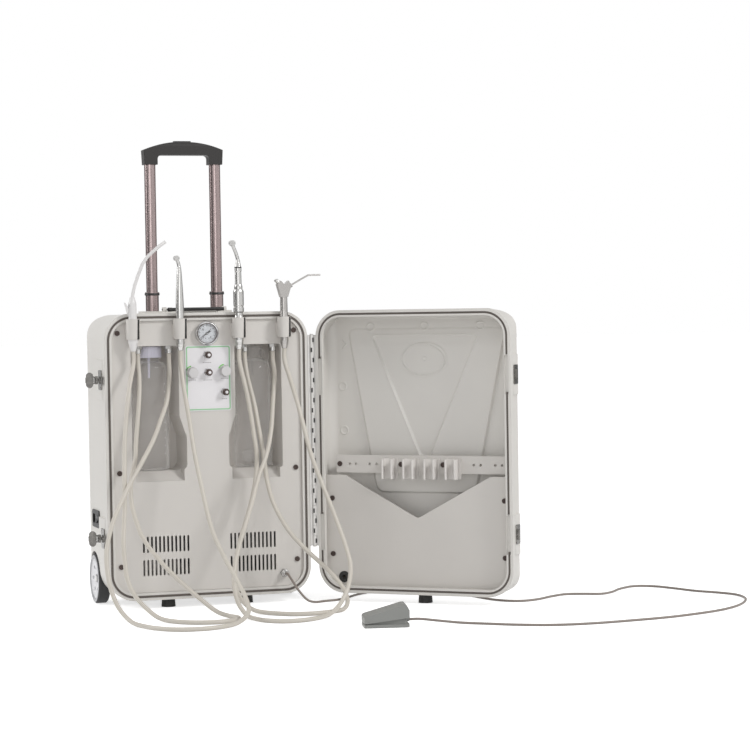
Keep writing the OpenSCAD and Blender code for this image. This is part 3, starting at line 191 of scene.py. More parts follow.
def clear(name, tint, rough=0.03, most=0.8):
    """Thin clear plastic or glass: seen straight through, with gloss that grows towards its edges."""
    n = Nodes(name)
    n.shader.inputs["Base Color"].default_value = tint
    n.shader.inputs["Transmission Weight"].default_value = 0.3
    n.shader.inputs["Specular IOR Level"].default_value = 0.8
    n.link(n.spread(n.noise(40), rough, rough * 2.5), n.shader.inputs["Roughness"])
    passing = n.add("ShaderNodeBsdfTransparent")
    passing.inputs["Color"].default_value = tint
    edge = n.add("ShaderNodeLayerWeight")
    edge.inputs["Blend"].default_value = 0.3
    ripple = n.spread(n.noise(26, 2.0), 0.8, 1.2)
    share = n.add("ShaderNodeMath", operation="MULTIPLY")
    n.link(n.spread(edge.outputs["Facing"], 0.07, most, 0.25, 1), share.inputs[0])
    n.link(ripple, share.inputs[1])
    seen = n.add("ShaderNodeMixShader")
    n.link(share.outputs[0], seen.inputs["Fac"])
    n.link(passing.outputs["BSDF"], seen.inputs[1])
    n.link(n.shader.outputs["BSDF"], seen.inputs[2])
    blend = n.add("ShaderNodeMixShader")
    n.link(n.add("ShaderNodeLightPath").outputs["Is Shadow Ray"], blend.inputs["Fac"])
    n.link(seen.outputs["Shader"], blend.inputs[1])
    n.link(passing.outputs["BSDF"], blend.inputs[2])
    n.link(blend.outputs["Shader"], n.tree.nodes["Material Output"].inputs["Surface"])
    return n.material


WHEEL_DISC_R = 38.9 * MM
WHEEL_HUB_R = 46.5 * MM
WHEEL_BLEND = 0.3 * MM


def wheel_finish(name, centre):
    """White disc, grey rim and black tread, told apart by the distance from the axle."""
    n = Nodes(name)
    split = n.add("ShaderNodeSeparateXYZ")
    n.link(n.place, split.inputs["Vector"])
    squares = []
    for axis, middle in (("Y", centre[1]), ("Z", centre[2])):
        shift = n.add("ShaderNodeMath", operation="SUBTRACT")
        n.link(split.outputs[axis], shift.inputs[0])
        shift.inputs[1].default_value = middle
        square = n.add("ShaderNodeMath", operation="POWER")
        n.link(shift.outputs[0], square.inputs[0])
        square.inputs[1].default_value = 2
        squares.append(square)
    total = n.add("ShaderNodeMath", operation="ADD")
    n.link(squares[0].outputs[0], total.inputs[0])
    n.link(squares[1].outputs[0], total.inputs[1])
    radius = n.add("ShaderNodeMath", operation="SQRT")
    n.link(total.outputs[0], radius.inputs[0])
    rim = n.spread(radius.outputs[0], 0, 1, WHEEL_DISC_R - WHEEL_BLEND, WHEEL_DISC_R + WHEEL_BLEND)
    tread = n.spread(radius.outputs[0], 0, 1, WHEEL_HUB_R - WHEEL_BLEND, WHEEL_HUB_R + WHEEL_BLEND)
    drift = n.spread(n.noise(9, 3.0), 0, 1)
    disc = n.mix(drift, srgb(236, 236, 238), srgb(226, 226, 229))
    hub = n.mix(rim, disc, srgb(168, 168, 171))
    n.link(n.mix(tread, hub, srgb(46, 45, 46)), n.shader.inputs["Base Color"])
    fine = n.noise(600, 3.0, 0.6)
    n.link(n.spread(tread, 0.32, 0.6, 0, 1), n.shader.inputs["Roughness"])
    n.link(n.bump(fine, 0.00003, normal=n.rounded(0.0006)), n.shader.inputs["Normal"])
    return n.material


SHELL = finish("shell_plastic", srgb(219, 216, 211), rough=0.42, mottle=0.02, grain=700, depth=0.00004,
               edge=0.0012)
PANEL = finish("panel_plastic", srgb(213, 209, 204), rough=0.45, mottle=0.02, grain=700, depth=0.00004,
               edge=0.0012)
RUBBER = finish("black_rubber", srgb(38, 38, 37), rough=0.65, grain=500)
# black of the real black parts, also used for the painted-shade plates in the hinge gaps and holder slots
BLACK = finish("black_plastic", srgb(34, 33, 33), rough=0.4)
SCREW = finish("screw_brown", srgb(74, 62, 58), rough=0.4, metal=0.4)
GRIP = finish("grip_rubber", srgb(44, 42, 41), rough=0.42, grain=400, depth=0.00006, edge=0.002,
              specular=0.4)
# grey of the case's rim gasket, and also of the painted shadow strip in the lid's rim groove
SEAL_AND_GROOVE_SHADE = finish("seal_and_groove_shade_grey", srgb(92, 85, 80), rough=0.7)
WHITE = finish("white_plastic", srgb(228, 226, 225), rough=0.3, coat=0.2)
CLIP = finish("clip_plastic", srgb(220, 216, 212), rough=0.35)
KNOB = finish("knob_plastic", srgb(208, 206, 206), rough=0.35, coat=0.15)
CAP = finish("cap_plastic", srgb(234, 232, 246), rough=0.3)
LABEL = finish("label_plate", srgb(234, 232, 234), rough=0.25, edge=0)
DIAL = finish("dial_face", srgb(208, 210, 214), rough=0.35, mottle=0.08, patch=220.0, edge=0)
GREEN = finish("border_green", srgb(152, 204, 156), rough=0.3, edge=0)
ARC_GREEN = finish("arc_green", srgb(128, 204, 108), rough=0.3, edge=0)
PRINT = finish("print_grey", srgb(150, 147, 148), rough=0.4, edge=0)
STEEL = finish("brushed_steel", srgb(196, 195, 193), rough=0.22, metal=0.97, grain=1500, depth=0.000002)
CHROME = finish("chrome", srgb(205, 205, 206), rough=0.12, metal=1.0, mottle=0.02)
LATCH = finish("latch_metal", srgb(128, 126, 123), rough=0.24, metal=0.95, mottle=0.25, patch=120.0)
VALVE_DARK = finish("valve_dark", srgb(74, 54, 47), rough=0.3, metal=0.15, mottle=0.2, patch=300.0)
HINGE_METAL = finish("hinge_metal", srgb(214, 212, 209), rough=0.4, metal=0.35)
SYRINGE = finish("syringe_grey", srgb(178, 175, 172), rough=0.28, metal=0.85)
TUBE = finish("anodised_tube", srgb(158, 143, 142), rough=0.25, metal=0.92, mottle=0.03, grain=60,
              depth=0.0, edge=0)
HOSE = finish("hose_silicone", srgb(206, 200, 190), rough=0.42, mottle=0.03, grain=500, edge=0)
THIN_TUBE = finish("tube_grey", srgb(140, 130, 123), rough=0.45, mottle=0.05, edge=0)
PEDAL = finish("pedal_grey", srgb(138, 139, 136), rough=0.5, grain=500, depth=0.00008)
CASTING = finish("compressor_casting", srgb(96, 97, 98), rough=0.5, metal=0.5, grain=300, depth=0.0002)
GLASS = clear("clear_glass", (0.99, 0.992, 0.992, 1), most=0.25)
BOTTLE = clear("clear_bottle", (0.985, 0.983, 0.982, 1))
WHEEL = wheel_finish("wheel_plastic", JOINTS["left_wheel_spin"]["pos_m"])

NODE_FINISH = {
    SHELL: ["case_shell", "top_bezel", "lid_shell", "air_tank"],
    PANEL: ["front_panel", "instrument_holders", "pocket_panel", "clip_rail"],
    KNOB: ["control_knob_left", "control_knob_right"],
    RUBBER: ["rubber_feet", "lid_rubbers"],
    BLACK: ["gauge_needle", "compressor_fan", "mains_inlet", "power_rocker", "grip_button", "carry_handle"],
    SCREW: ["panel_screws", "lid_screws"],
    GRIP: ["trolley_grip"],
    SEAL_AND_GROOVE_SHADE: ["rim_gasket"],
    WHITE: ["suction_handpiece", "suction_lever"],
    CLIP: ["hose_clips"],
    SYRINGE: ["syringe_body"],
    WHEEL: ["wheel_left", "wheel_right"],
    CAP: ["bottle_caps"],
    LABEL: ["control_plate"],
    STEEL: ["hose_glands", "trolley_sleeves", "wheel_axle", "turbine_handpiece", "air_motor",
            "contra_angle", "syringe_air_button", "syringe_water_button"],
    CHROME: ["valve_manifold", "pressure_gauge"],
    LATCH: ["latch_wing_upper", "latch_wing_lower", "latch_bases", "latch_catches"],
    HINGE_METAL: ["hinge_leaf_case", "hinge_leaf_lid", "hinge_pin"],
    TUBE: ["trolley_stage", "trolley_tubes"],
    HOSE: ["suction_hose", "turbine_hose", "motor_hose", "syringe_hose"],
    THIN_TUBE: ["foot_tube"],
    PEDAL: ["pedal_base", "pedal_treadle"],
    CASTING: ["air_compressor"],
    GLASS: ["gauge_glass"],
    BOTTLE: ["water_bottle", "waste_bottle"],
}


def dress_nodes():
    for material, names in NODE_FINISH.items():
        for name in names:
            mesh = NODES[name].data
            mesh.materials.clear()
            mesh.materials.append(material)


dress_nodes()

# ---------------------------------------------------------------- cords

HOSE_D = 8.5
TUBE_D = 4.6
STEPS = 8                     # between two points of a route
TUBE_SIDES = 8
FLOOR_GAP = 0.1

SUCTION_ROUTE = [
    (-295.5, 46, 495), (-295.5, 46, 478), (-295.5, 38, 448), (-300.5, 20, 406), (-311.5, 2, 331),
    (-315.5, -6, 295), (-325.5, -15, 259), (-329.5, -25, 224), (-325.5, -37, 188), (-312.5, -54, 145),
    (-285.5, -80, 103), (-253.5, -108, 65), (-221.5, -132, 34), (-195.5, -150, 12), (-173.5, -170, 4.4),
    (-165.5, -196, 4.4), (-179.5, -224, 4.4), (-213.5, -238, 4.4), (-253.5, -230, 4.4),
    (-285.5, -202, 4.4), (-309.5, -164, 8), (-329.5, -134, 26), (-345.5, -116, 48), (-355.5, -104, 76),
    (-357.5, -94, 109), (-357.5, -84, 144), (-349.5, -62, 214), (-341.5, -36, 333), (-326.5, -12, 427),
    (-311.5, 14, 475), (-311.5, 14, 500),
]
TURBINE_ROUTE = [
    (-234.5, 46, 495), (-234.5, 46, 478), (-236.5, 37, 447), (-246.5, 16, 405), (-263.5, -2, 368),
    (-282.5, -18, 330), (-309.5, -38, 290), (-336.5, -60, 254), (-374.5, -90, 192), (-392.5, -110, 147),
    (-398.5, -124, 113), (-396.5, -142, 70), (-385.5, -162, 32), (-369.5, -190, 9), (-357.5, -228, 4.4),
    (-341.5, -272, 4.4), (-309.5, -308, 4.4), (-261.5, -318, 4.4), (-219.5, -302, 4.4),
    (-183.5, -272, 7), (-157.5, -238, 20), (-153.5, -204, 42), (-163.5, -166, 78), (-177.5, -134, 116),
    (-191.5, -104, 163), (-200.5, -72, 233), (-207.5, -42, 304), (-211.5, -20, 367), (-217, -2, 428),
    (-218.5, 14, 475), (-218.5, 14, 500),
]
MOTOR_ROUTE = [
    (-82.5, 46, 495), (-82.5, 46, 478), (-80, 37, 445), (-73, 17, 394), (-67.5, 6, 347),
    (-63.5, -2, 311), (-60.5, -9, 275), (-57.5, -16, 240), (-47.5, -28, 196), (-25.5, -50, 148),
    (4.5, -72, 110), (36.5, -94, 76), (58.5, -114, 46), (64.5, -136, 20), (50.5, -160, 6),
    (20.5, -182, 4.4), (-19.5, -194, 4.4), (-59.5, -186, 4.4), (-93.5, -154, 4.4), (-117.5, -118, 8),
    (-133.5, -90, 26), (-139.5, -70, 58), (-125.5, -46, 120), (-95.5, -24, 196), (-80.5, -12, 248),
    (-75.5, -6, 294), (-78.5, -1, 329), (-83.5, 4, 374), (-90.5, 8, 419), (-101.5, 14, 475),
    (-101.5, 14, 500),
]
SYRINGE_ROUTE = [
    (-26, 46, 495), (-26, 46, 478), (-25.5, 37, 446), (-36.5, 13, 390), (-45.5, -8, 347),
    (-56.5, -24, 312), (-67.5, -38, 288), (-85.5, -52, 253), (-104.5, -70, 205), (-137.5, -100, 130),
    (-151.5, -118, 92), (-157.5, -134, 58), (-155.5, -152, 28), (-147.5, -180, 8), (-141.5, -214, 4.4),
    (-129.5, -252, 4.4), (-101.5, -278, 4.4), (-63.5, -278, 4.4), (-23.5, -254, 4.4), (8.5, -218, 7),
    (36.5, -188, 22), (56.5, -170, 50), (65.5, -156, 84), (63.5, -138, 118), (50.5, -110, 177),
    (33.5, -84, 238), (18.5, -58, 298), (5.5, -30, 380), (-3.5, -3, 436), (-10.5, 14, 475),
    (-10.5, 14, 500),
]
TUBE_ROUTE = [
    (-13.5, 16, 58), (-13.5, 8, 58), (-8.5, -6, 46), (2.5, -16, 26), (18.5, -20, 8), (38.5, -14, 2.4),
    (60.5, -4, 2.4), (86.5, 4, 2.4), (112.5, 28, 2.4), (153.5, 76, 2.4), (208.5, 112, 2.4),
    (258.5, 122, 2.4), (308.5, 96, 2.4), (338.5, 30, 2.4), (348.5, -50, 2.4), (368.5, -128, 2.4),
    (402.5, -164, 2.4), (444.5, -156, 2.4), (486.5, -124, 2.4), (526.5, -102, 2.4), (560.5, -112, 2.4),
    (592.5, -126, 2.4), (624.5, -106, 2.4), (658.5, -66, 2.4), (702.5, -36, 2.4), (738.5, -56, 2.4),
    (760.5, -104, 2.4), (780.5, -160, 2.4), (808.5, -204, 2.4), (826.5, -248, 2.4), (820.5, -300, 2.4),
    (796.5, -350, 2.4), (758.5, -400, 2.4), (712.5, -440, 2.4), (658.5, -470, 2.4), (578.5, -500, 2.4),
    (506.5, -514, 2.4), (413.5, -524, 2.4), (339.5, -516, 2.4), (278.5, -486, 2.4), (230.5, -448, 2.4),
    (192.5, -420, 3), (154.5, -406, 7), (122.5, -399, 11), (103, -395, 11),
]


def along(route, diameter):
    """Smooth centreline through a route's points that never sinks into the floor, in metres."""
    line = []
    for i in range(len(route) - 1):
        near = (max(i - 1, 0), i, i + 1, min(i + 2, len(route) - 1))
        before, a, b, after = (Vector(route[k]) for k in near)
        lead, trail = (b - before) / 2, (after - a) / 2
        for step in range(STEPS):
            t = step / STEPS
            line.append(
                a * (2 * t**3 - 3 * t**2 + 1) + lead * (t**3 - 2 * t**2 + t)
                + b * (3 * t**2 - 2 * t**3) + trail * (t**3 - t**2)
            )
    line.append(Vector(route[-1]))
    lowest = diameter / 2 + FLOOR_GAP
    return [Vector((p.x, p.y, max(p.z, lowest))) * MM for p in line]


def tube(name, line, diameter, material, body):
    """A round tube along points, as one open spline."""
    data = bpy.data.curves.new(name, "CURVE")
    data.dimensions = "3D"
    data.bevel_depth = diameter / 2
    data.bevel_resolution = TUBE_SIDES
    data.use_fill_caps = True
    spline = data.splines.new("POLY")
    spline.points.add(len(line) - 1)
    for point, place in zip(spline.points, line):
        point.co = (*place, 1)
    spline.use_smooth = True
    piece = bpy.data.objects.new(name, data)
    bpy.context.scene.collection.objects.link(piece)
    data.materials.append(material)
    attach(piece, body)
    return piece


def make_cord(name, route, diameter, material):
    line = along(route, diameter)
    cord = tube(name + "_cord", line, diameter * MM, material, "case")
    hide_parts(name)


make_cord("suction_hose", SUCTION_ROUTE, HOSE_D, HOSE)
make_cord("turbine_hose", TURBINE_ROUTE, HOSE_D, HOSE)
make_cord("motor_hose", MOTOR_ROUTE, HOSE_D, HOSE)
make_cord("syringe_hose", SYRINGE_ROUTE, HOSE_D, HOSE)
make_cord("foot_tube", TUBE_ROUTE, TUBE_D, THIN_TUBE)

# ---------------------------------------------------------------- mesh helpers


def piece_from(name, build, place, material, body, smooth=True):
    """One mesh piece, built by a function in a half's own millimetres and set in place."""
    mesh = bpy.data.meshes.new(name)
    bm = bmesh.new()
    build(bm)
    bmesh.ops.transform(bm, matrix=place @ Matrix.Scale(MM, 4), verts=bm.verts)
    bmesh.ops.recalc_face_normals(bm, faces=bm.faces)
    bm.to_mesh(mesh)
    bm.free()
    mesh.materials.append(material)
    if smooth:
        mesh.shade_smooth()
        mesh.set_sharp_from_angle(angle=math.radians(35))
    piece = bpy.data.objects.new(name, mesh)
    bpy.context.scene.collection.objects.link(piece)
    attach(piece, body)
    return piece


def turned(bm, profile, axis="Z", centre=(0, 0, 0), steps=48, closed=False):
    """Lathe a profile of (radius, height) pairs about an axis."""
    turn = {"Z": Matrix.Identity(3), "Y": Matrix.Rotation(math.radians(-90), 3, "X")}[axis]
    rings = []
    for radius, height in profile:
        if radius < 1e-6:
            rings.append([bm.verts.new(turn @ Vector((0, 0, height)) + Vector(centre))])
        else:
            angles = [2 * math.pi * k / steps for k in range(steps)]
            spots = [turn @ Vector((radius * math.cos(a), radius * math.sin(a), height)) for a in angles]
            rings.append([bm.verts.new(spot + Vector(centre)) for spot in spots])
    pairs = list(zip(rings, rings[1:])) + ([(rings[-1], rings[0])] if closed else [])
    for low, high in pairs:
        for k in range(steps):
            j = (k + 1) % steps
            if len(low) == 1:
                bm.faces.new((low[0], high[j], high[k]))
            elif len(high) == 1:
                bm.faces.new((low[k], low[j], high[0]))
            else:
                bm.faces.new((low[k], low[j], high[j], high[k]))


def rounded_outline(width, height, radius, steps=6):
    outline = []
    for sx, sz, start in ((1, 1, 0), (-1, 1, 90), (-1, -1, 180), (1, -1, 270)):
        x, z = sx * (width / 2 - radius), sz * (height / 2 - radius)
        for k in range(steps + 1):
            a = math.radians(start + 90 * k / steps)
            outline.append((x + radius * math.cos(a), z + radius * math.sin(a)))
    return outline


def oblong(left, right, low, high):
    return [(left, low), (right, low), (right, high), (left, high)]


def band(bm, outer, inner, y0, y1, centre):
    """A flat frame between two outlines of equal length, from depth y0 to y1."""
    cx, cz = centre
    loops = [[bm.verts.new((cx + x, y, cz + z)) for x, z in line] for line, y in
             ((outer, y0), (outer, y1), (inner, y1), (inner, y0))]
    count = len(outer)
    for a, b in zip(loops, loops[1:] + loops[:1]):
        for k in range(count):
            j = (k + 1) % count
            bm.faces.new((a[k], a[j], b[j], b[k]))


def slab(bm, outline, y0, y1, centre):
    cx, cz = centre
    front = [bm.verts.new((cx + x, y0, cz + z)) for x, z in outline]
    back = [bm.verts.new((cx + x, y1, cz + z)) for x, z in outline]
    bm.faces.new(front)
    bm.faces.new(back[::-1])
    count = len(outline)
    for k in range(count):
        j = (k + 1) % count
        bm.faces.new((front[k], back[k], back[j], front[j]))


# ---------------------------------------------------------------- gauge dial

GAUGE_Z = 532
DIAL_R = 19.4
DIAL_HOLE_R = 1.4
DIAL_BACK, DIAL_FRONT = 0.05, -0.25
DIAL_PRINT = (-0.36, -0.24)
LIP_R = (19.8, 19.0)
LIP_Y = (-4.9, -1.2)
SCALE_START = 225             # degrees, turning clockwise
SCALE_SWEEP = 270
TICKS = 40
LONG_TICK_EVERY = 4
LONG_TICK = (13.8, 0.45)      # inner radius and half width
SHORT_TICK = (15.8, 0.2)
TICK_OUTER_R = 17.8
NUMBERS = "0246"
NUMBER_R = 10.6
NUMBER_SIZE = 3.0
DOT_X = (-2.6, 4.0)
DOT_DROP = 9.6
DOT_R = 1.0


def dial_face(bm):
    ring(bm, DIAL_R, DIAL_HOLE_R, DIAL_BACK, DIAL_FRONT, (0, GAUGE_Z), 64)


def dial_ticks(bm):
    for i in range(TICKS + 1):
        a = math.radians(SCALE_START - SCALE_SWEEP * i / TICKS)
        inner, half = LONG_TICK if i % LONG_TICK_EVERY == 0 else SHORT_TICK
        along_tick = Vector((math.cos(a), 0, math.sin(a)))
        across = Vector((-math.sin(a), 0, math.cos(a))) * half
        ends = ((inner, -1), (TICK_OUTER_R, -1), (TICK_OUTER_R, 1), (inner, 1))
        corners = [along_tick * r + across * s for r, s in ends]
        slab(bm, [(c.x, c.z) for c in corners], *DIAL_PRINT, (0, GAUGE_Z))


def ring(bm, outer, inner, y0, y1, centre, steps=48):
    """A flat ring that faces the front."""
    profile = [(inner, y0), (outer, y0), (outer, y1), (inner, y1)]
    turned(bm, profile, "Y", (centre[0], 0, centre[1]), steps, closed=True)


def arc_strip(bm, inner, outer, start, end, y0, y1, centre, steps=14):
    """Part of a flat ring, between two angles in degrees."""
    angles = [math.radians(start + (end - start) * k / steps) for k in range(steps + 1)]
    outline = [(outer * math.cos(a), outer * math.sin(a)) for a in angles]
    outline += [(inner * math.cos(a), inner * math.sin(a)) for a in reversed(angles)]
    for k in range(steps):
        slab(bm, [outline[k], outline[k + 1], outline[-2 - k], outline[-1 - k]], y0, y1, centre)


SEGMENTS = {"0": "abcdef", "2": "abged", "4": "fgbc", "6": "afgedc"}
STROKES = {
    "a": ((0, 2), (1, 2)), "b": ((1, 2), (1, 1)), "c": ((1, 1), (1, 0)), "d": ((0, 0), (1, 0)),
    "e": ((0, 0), (0, 1)), "f": ((0, 1), (0, 2)), "g": ((0, 1), (1, 1)),
}
STROKE_HALF = 0.11            # shares of a figure's size
FIGURE_WIDE = 0.55
STROKE_LONG = 0.5


def digit(bm, figure, x, z, size, y0, y1):
    """A plain dial number made of short strokes."""
    half = size * STROKE_HALF
    wide, tall = size * FIGURE_WIDE, size * STROKE_LONG
    for key in SEGMENTS[figure]:
        (ax, az), (bx, bz) = STROKES[key]
        x0, x1 = sorted((ax, bx))
        z0, z1 = sorted((az, bz))
        left, right = x + (x0 - 0.5) * wide - half, x + (x1 - 0.5) * wide + half
        low, high = z + (z0 - 1) * tall - half, z + (z1 - 1) * tall + half
        slab(bm, oblong(left, right, low, high), y0, y1, (0, 0))


def dial_numbers(bm):
    """Plain numbers round the scale and two dots under the needle."""
    front, back = DIAL_PRINT
    for i, figure in enumerate(NUMBERS):
        a = math.radians(SCALE_START - SCALE_SWEEP * i / (len(NUMBERS) - 1))
        x, z = NUMBER_R * math.cos(a), GAUGE_Z + NUMBER_R * math.sin(a)
        digit(bm, figure, x, z, NUMBER_SIZE, *DIAL_PRINT)
    dot = [(0, back), (DOT_R, back), (DOT_R, front), (0, front)]
    for x in DOT_X:
        turned(bm, dot, "Y", (x, 0, GAUGE_Z - DOT_DROP), 16)


def bezel_lip(bm):
    ring(bm, *LIP_R, *LIP_Y, (0, GAUGE_Z), 64)


piece_from("gauge_dial", dial_face, CASE, DIAL, "case")
piece_from("gauge_ticks", dial_ticks, CASE, BLACK, "case", smooth=False)
piece_from("gauge_numbers", dial_numbers, CASE, BLACK, "case", smooth=False)
piece_from("gauge_lip", bezel_lip, CASE, VALVE_DARK, "case")

# ---------------------------------------------------------------- control plate print and valves

PLATE_FACE = 4.5
PLATE_PRINT = (PLATE_FACE - 0.12, PLATE_FACE + 0.05)
DASH_PRINT = (PLATE_FACE - 0.1, PLATE_FACE + 0.05)
PLATE_X = (-43, 48)
PLATE_Z = (381, 508.5)
VALVES = ((1, 490), (2, 456), (35, 417))
KNOBS = ((-30, 456), (35, 458))
BORDER_INSET = 1.7
BORDER_WIDTH = 2.4
BORDER_CORNERS = (4, 2.6)
ARC_R = (11.4, 13.6)
ARC_FROM, ARC_TO = 96, 156    # degrees
DASH_HIGH = 1.1
DASH_GAP = 0.9
NUT_RING = (6.62, 4.9, -6.9, 0.9)       # outer and inner radius, front and back
STEM_RING = (4.62, 3.1, -11.75, -6.6)
STEM_FACE = ((0, -11.3), (2.9, -11.3), (2.9, -12.2), (2.0, -12.7), (0, -12.9))


def plate_border(bm):
    w = PLATE_X[1] - PLATE_X[0] - 2 * BORDER_INSET
    h = PLATE_Z[1] - PLATE_Z[0] - 2 * BORDER_INSET
    outer = rounded_outline(w, h, BORDER_CORNERS[0])
    inner = rounded_outline(w - 2 * BORDER_WIDTH, h - 2 * BORDER_WIDTH, BORDER_CORNERS[1])
    band(bm, outer, inner, *PLATE_PRINT, (sum(PLATE_X) / 2, sum(PLATE_Z) / 2))


def knob_arcs(bm):
    for centre in KNOBS:
        arc_strip(bm, *ARC_R, ARC_FROM, ARC_TO, *PLATE_PRINT, centre)


def print_dashes(bm):
    """Rows of plain dashes where captions are: each row has a middle, a foot and its dashes' lengths."""
    rows = [(x - 1, z - 15.5, (3.4, 2.2, 2.8, 1.8, 3.0)) for x, z in VALVES[:2]]
    rows += [(x, z - 15, (3.6, 2.6, 3.2, 2.4)) for x, z in KNOBS]
    rows += [(34, 403.5, (3.2, 2.4, 3.0))]
    for x, z, widths in rows:
        left = x - (sum(widths) + DASH_GAP * (len(widths) - 1)) / 2
        for width in widths:
            slab(bm, oblong(left, left + width, z, z + DASH_HIGH), *DASH_PRINT, (0, 0))
            left += width + DASH_GAP


def valve_rings(bm):
    for centre in VALVES:
        ring(bm, *NUT_RING, centre)
        ring(bm, *STEM_RING, centre)


def valve_centres(bm):
    for x, z in VALVES:
        turned(bm, STEM_FACE, "Y", (x, 0, z), 24)


piece_from("plate_border", plate_border, CASE, GREEN, "case")
piece_from("knob_arcs", knob_arcs, CASE, ARC_GREEN, "case", smooth=False)
piece_from("plate_print", print_dashes, CASE, PRINT, "case", smooth=False)
piece_from("valve_rings", valve_rings, CASE, VALVE_DARK, "case")
piece_from("valve_centres", valve_centres, CASE, LABEL, "case")

# ---------------------------------------------------------------- lid lining, painted groove shadow and painted hinge-gap shade

FLOOR_Y = 58                  # the lid's flat floor; rises stand in from it
FLAT_RISE = 0.1
PLATEAU = ((-98, 213), (109, 213), (175, 534), (-156, 534))
PLATEAU_CORNER = 14
PLATEAU_RISE = 5.2
PLATEAU_SLOPE = 4.5           # width over which the edge rises
V_FIELD = ((-4, 283), (14, 283), (116, 520), (-104, 520))
V_CORNER = 8
V_DROP = 4.4
V_SLOPE = 3.6
V_BEAD_OUT = 2.2
TOP_FADE = 0.75               # share of the plateau's rise that is lost towards its top
FADE_Z = 515
FADE_WIDE = 36
OVAL = (5.5, 475)
OVAL_RADII = (46.3, 31)
OVAL_BAND = (0.8, 1.2)        # shares of the oval between which its bead is reckoned
SPOT_R = 4.2
SPOT_DROP = 1
MARKS = ((-109, 538), (5, 539), (121, 539), (-170, 421), (-168, 334))
MARK_R = 7.6
MARK_REACH = 12
ARROW = (-161, 505)           # tip of the small pressed arrowhead
ARROW_REACH = (-9, 3)
V_BEAD = (1.6, 0.8)           # each bead's half width and height
OVAL_BEAD = (1.2, 1.7)
SPOT_BEAD = (1.0, 1.1)
MARK_BEAD = (1.0, 1.5)
ARROW_BEAD = (1.1, 1.8)
LINING_HALF = 177
LINING_Z = (150, 548)
LINING_STEP = 1.4


def inside_depth(point, shape, radius):
    """Distance from a point into a convex outline with rounded corners: positive inside."""
    x, z = point
    lines = []
    for (ax, az), (bx, bz) in zip(shape, shape[1:] + shape[:1]):
        length = math.hypot(bx - ax, bz - az)
        nx, nz = -(bz - az) / length, (bx - ax) / length
        lines.append((x - ax) * nx + (z - az) * nz)
    close = [radius - d for d in lines if d < radius]
    if len(close) > 1 and max(close) > 0:
        return radius - math.hypot(*close) if len(close) == 2 else radius - max(close)
    return min(lines)


def ease(value, width):
    t = min(1, max(0, value / width + 0.5))
    return t * t * (3 - 2 * t)


def bead(distance, width, height):
    return height * math.exp(-((distance / width) ** 2))


def lining_rise(x, z):
    """How far the pressed lid stands in from its flat floor at one place."""
    fade = 1 - TOP_FADE * ease(z - FADE_Z, FADE_WIDE)
    on_plateau = ease(inside_depth((x, z), PLATEAU, PLATEAU_CORNER), PLATEAU_SLOPE)
    into_v = inside_depth((x, z), V_FIELD, V_CORNER)
    rise = FLAT_RISE + PLATEAU_RISE * fade * on_plateau - V_DROP * ease(into_v, V_SLOPE)
    rise = max(rise, FLAT_RISE) + bead(into_v + V_BEAD_OUT, *V_BEAD)
    ox, oz = x - OVAL[0], z - OVAL[1]
    wide, high = OVAL_RADII
    oval = math.hypot(ox / wide, oz / high)
    if OVAL_BAND[0] < oval < OVAL_BAND[1]:
        slope = math.hypot(ox / wide**2, oz / high**2) / max(oval, 1e-6)
        rise += bead((oval - 1) / slope, *OVAL_BEAD)
    rise += bead(math.hypot(ox, oz + SPOT_DROP) - SPOT_R, *SPOT_BEAD)
    for mx, mz in MARKS:
        away = math.hypot(x - mx, z - mz)
        if away < MARK_REACH:
            rise += bead(away - MARK_R, *MARK_BEAD)
    ax, az = x - ARROW[0], abs(z - ARROW[1])
    if az < -ARROW_REACH[0] and ARROW_REACH[0] < ax < ARROW_REACH[1]:
        rise += bead(ax + az, *ARROW_BEAD)
    return rise


def lid_lining(bm):
    low, high = LINING_Z
    columns, rows = int(2 * LINING_HALF / LINING_STEP), int((high - low) / LINING_STEP)

    def vertex(i, j):
        x, z = -LINING_HALF + i * LINING_STEP, low + j * LINING_STEP
        return bm.verts.new((x, FLOOR_Y - lining_rise(x, z), z))

    grid = [[vertex(i, j) for i in range(columns + 1)] for j in range(rows + 1)]
    for j in range(rows):
        for i in range(columns):
            bm.faces.new((grid[j][i], grid[j + 1][i], grid[j + 1][i + 1], grid[j][i + 1]))


HALF_WIDE = 400
HALF_HIGH = 550
HALF_MIDDLE_Z = 295
RIM_CORNER = 50
# the dark strip painted as the shadow in the lid's rim groove: inset, half width, depth and spacing
GROOVE_SHADE_INSET = 5.2
GROOVE_SHADE_HALF = 1.7
GROOVE_SHADE_Y = (0.25, 2.6)
GROOVE_SHADE_SPACING = 6
STRAIGHT_SIDE = HALF_WIDE / 2 - 20
LATCH_Z = (445, 138)
LATCH_REACH = 37


def points_along(line, spacing):
    """The points of a closed outline, with more of them on its long stretches."""
    dense = []
    for (ax, az), (bx, bz) in zip(line, line[1:] + line[:1]):
        count = max(1, int(math.hypot(bx - ax, bz - az) / spacing))
        dense += [(ax + (bx - ax) * k / count, az + (bz - az) * k / count) for k in range(count)]
    return dense


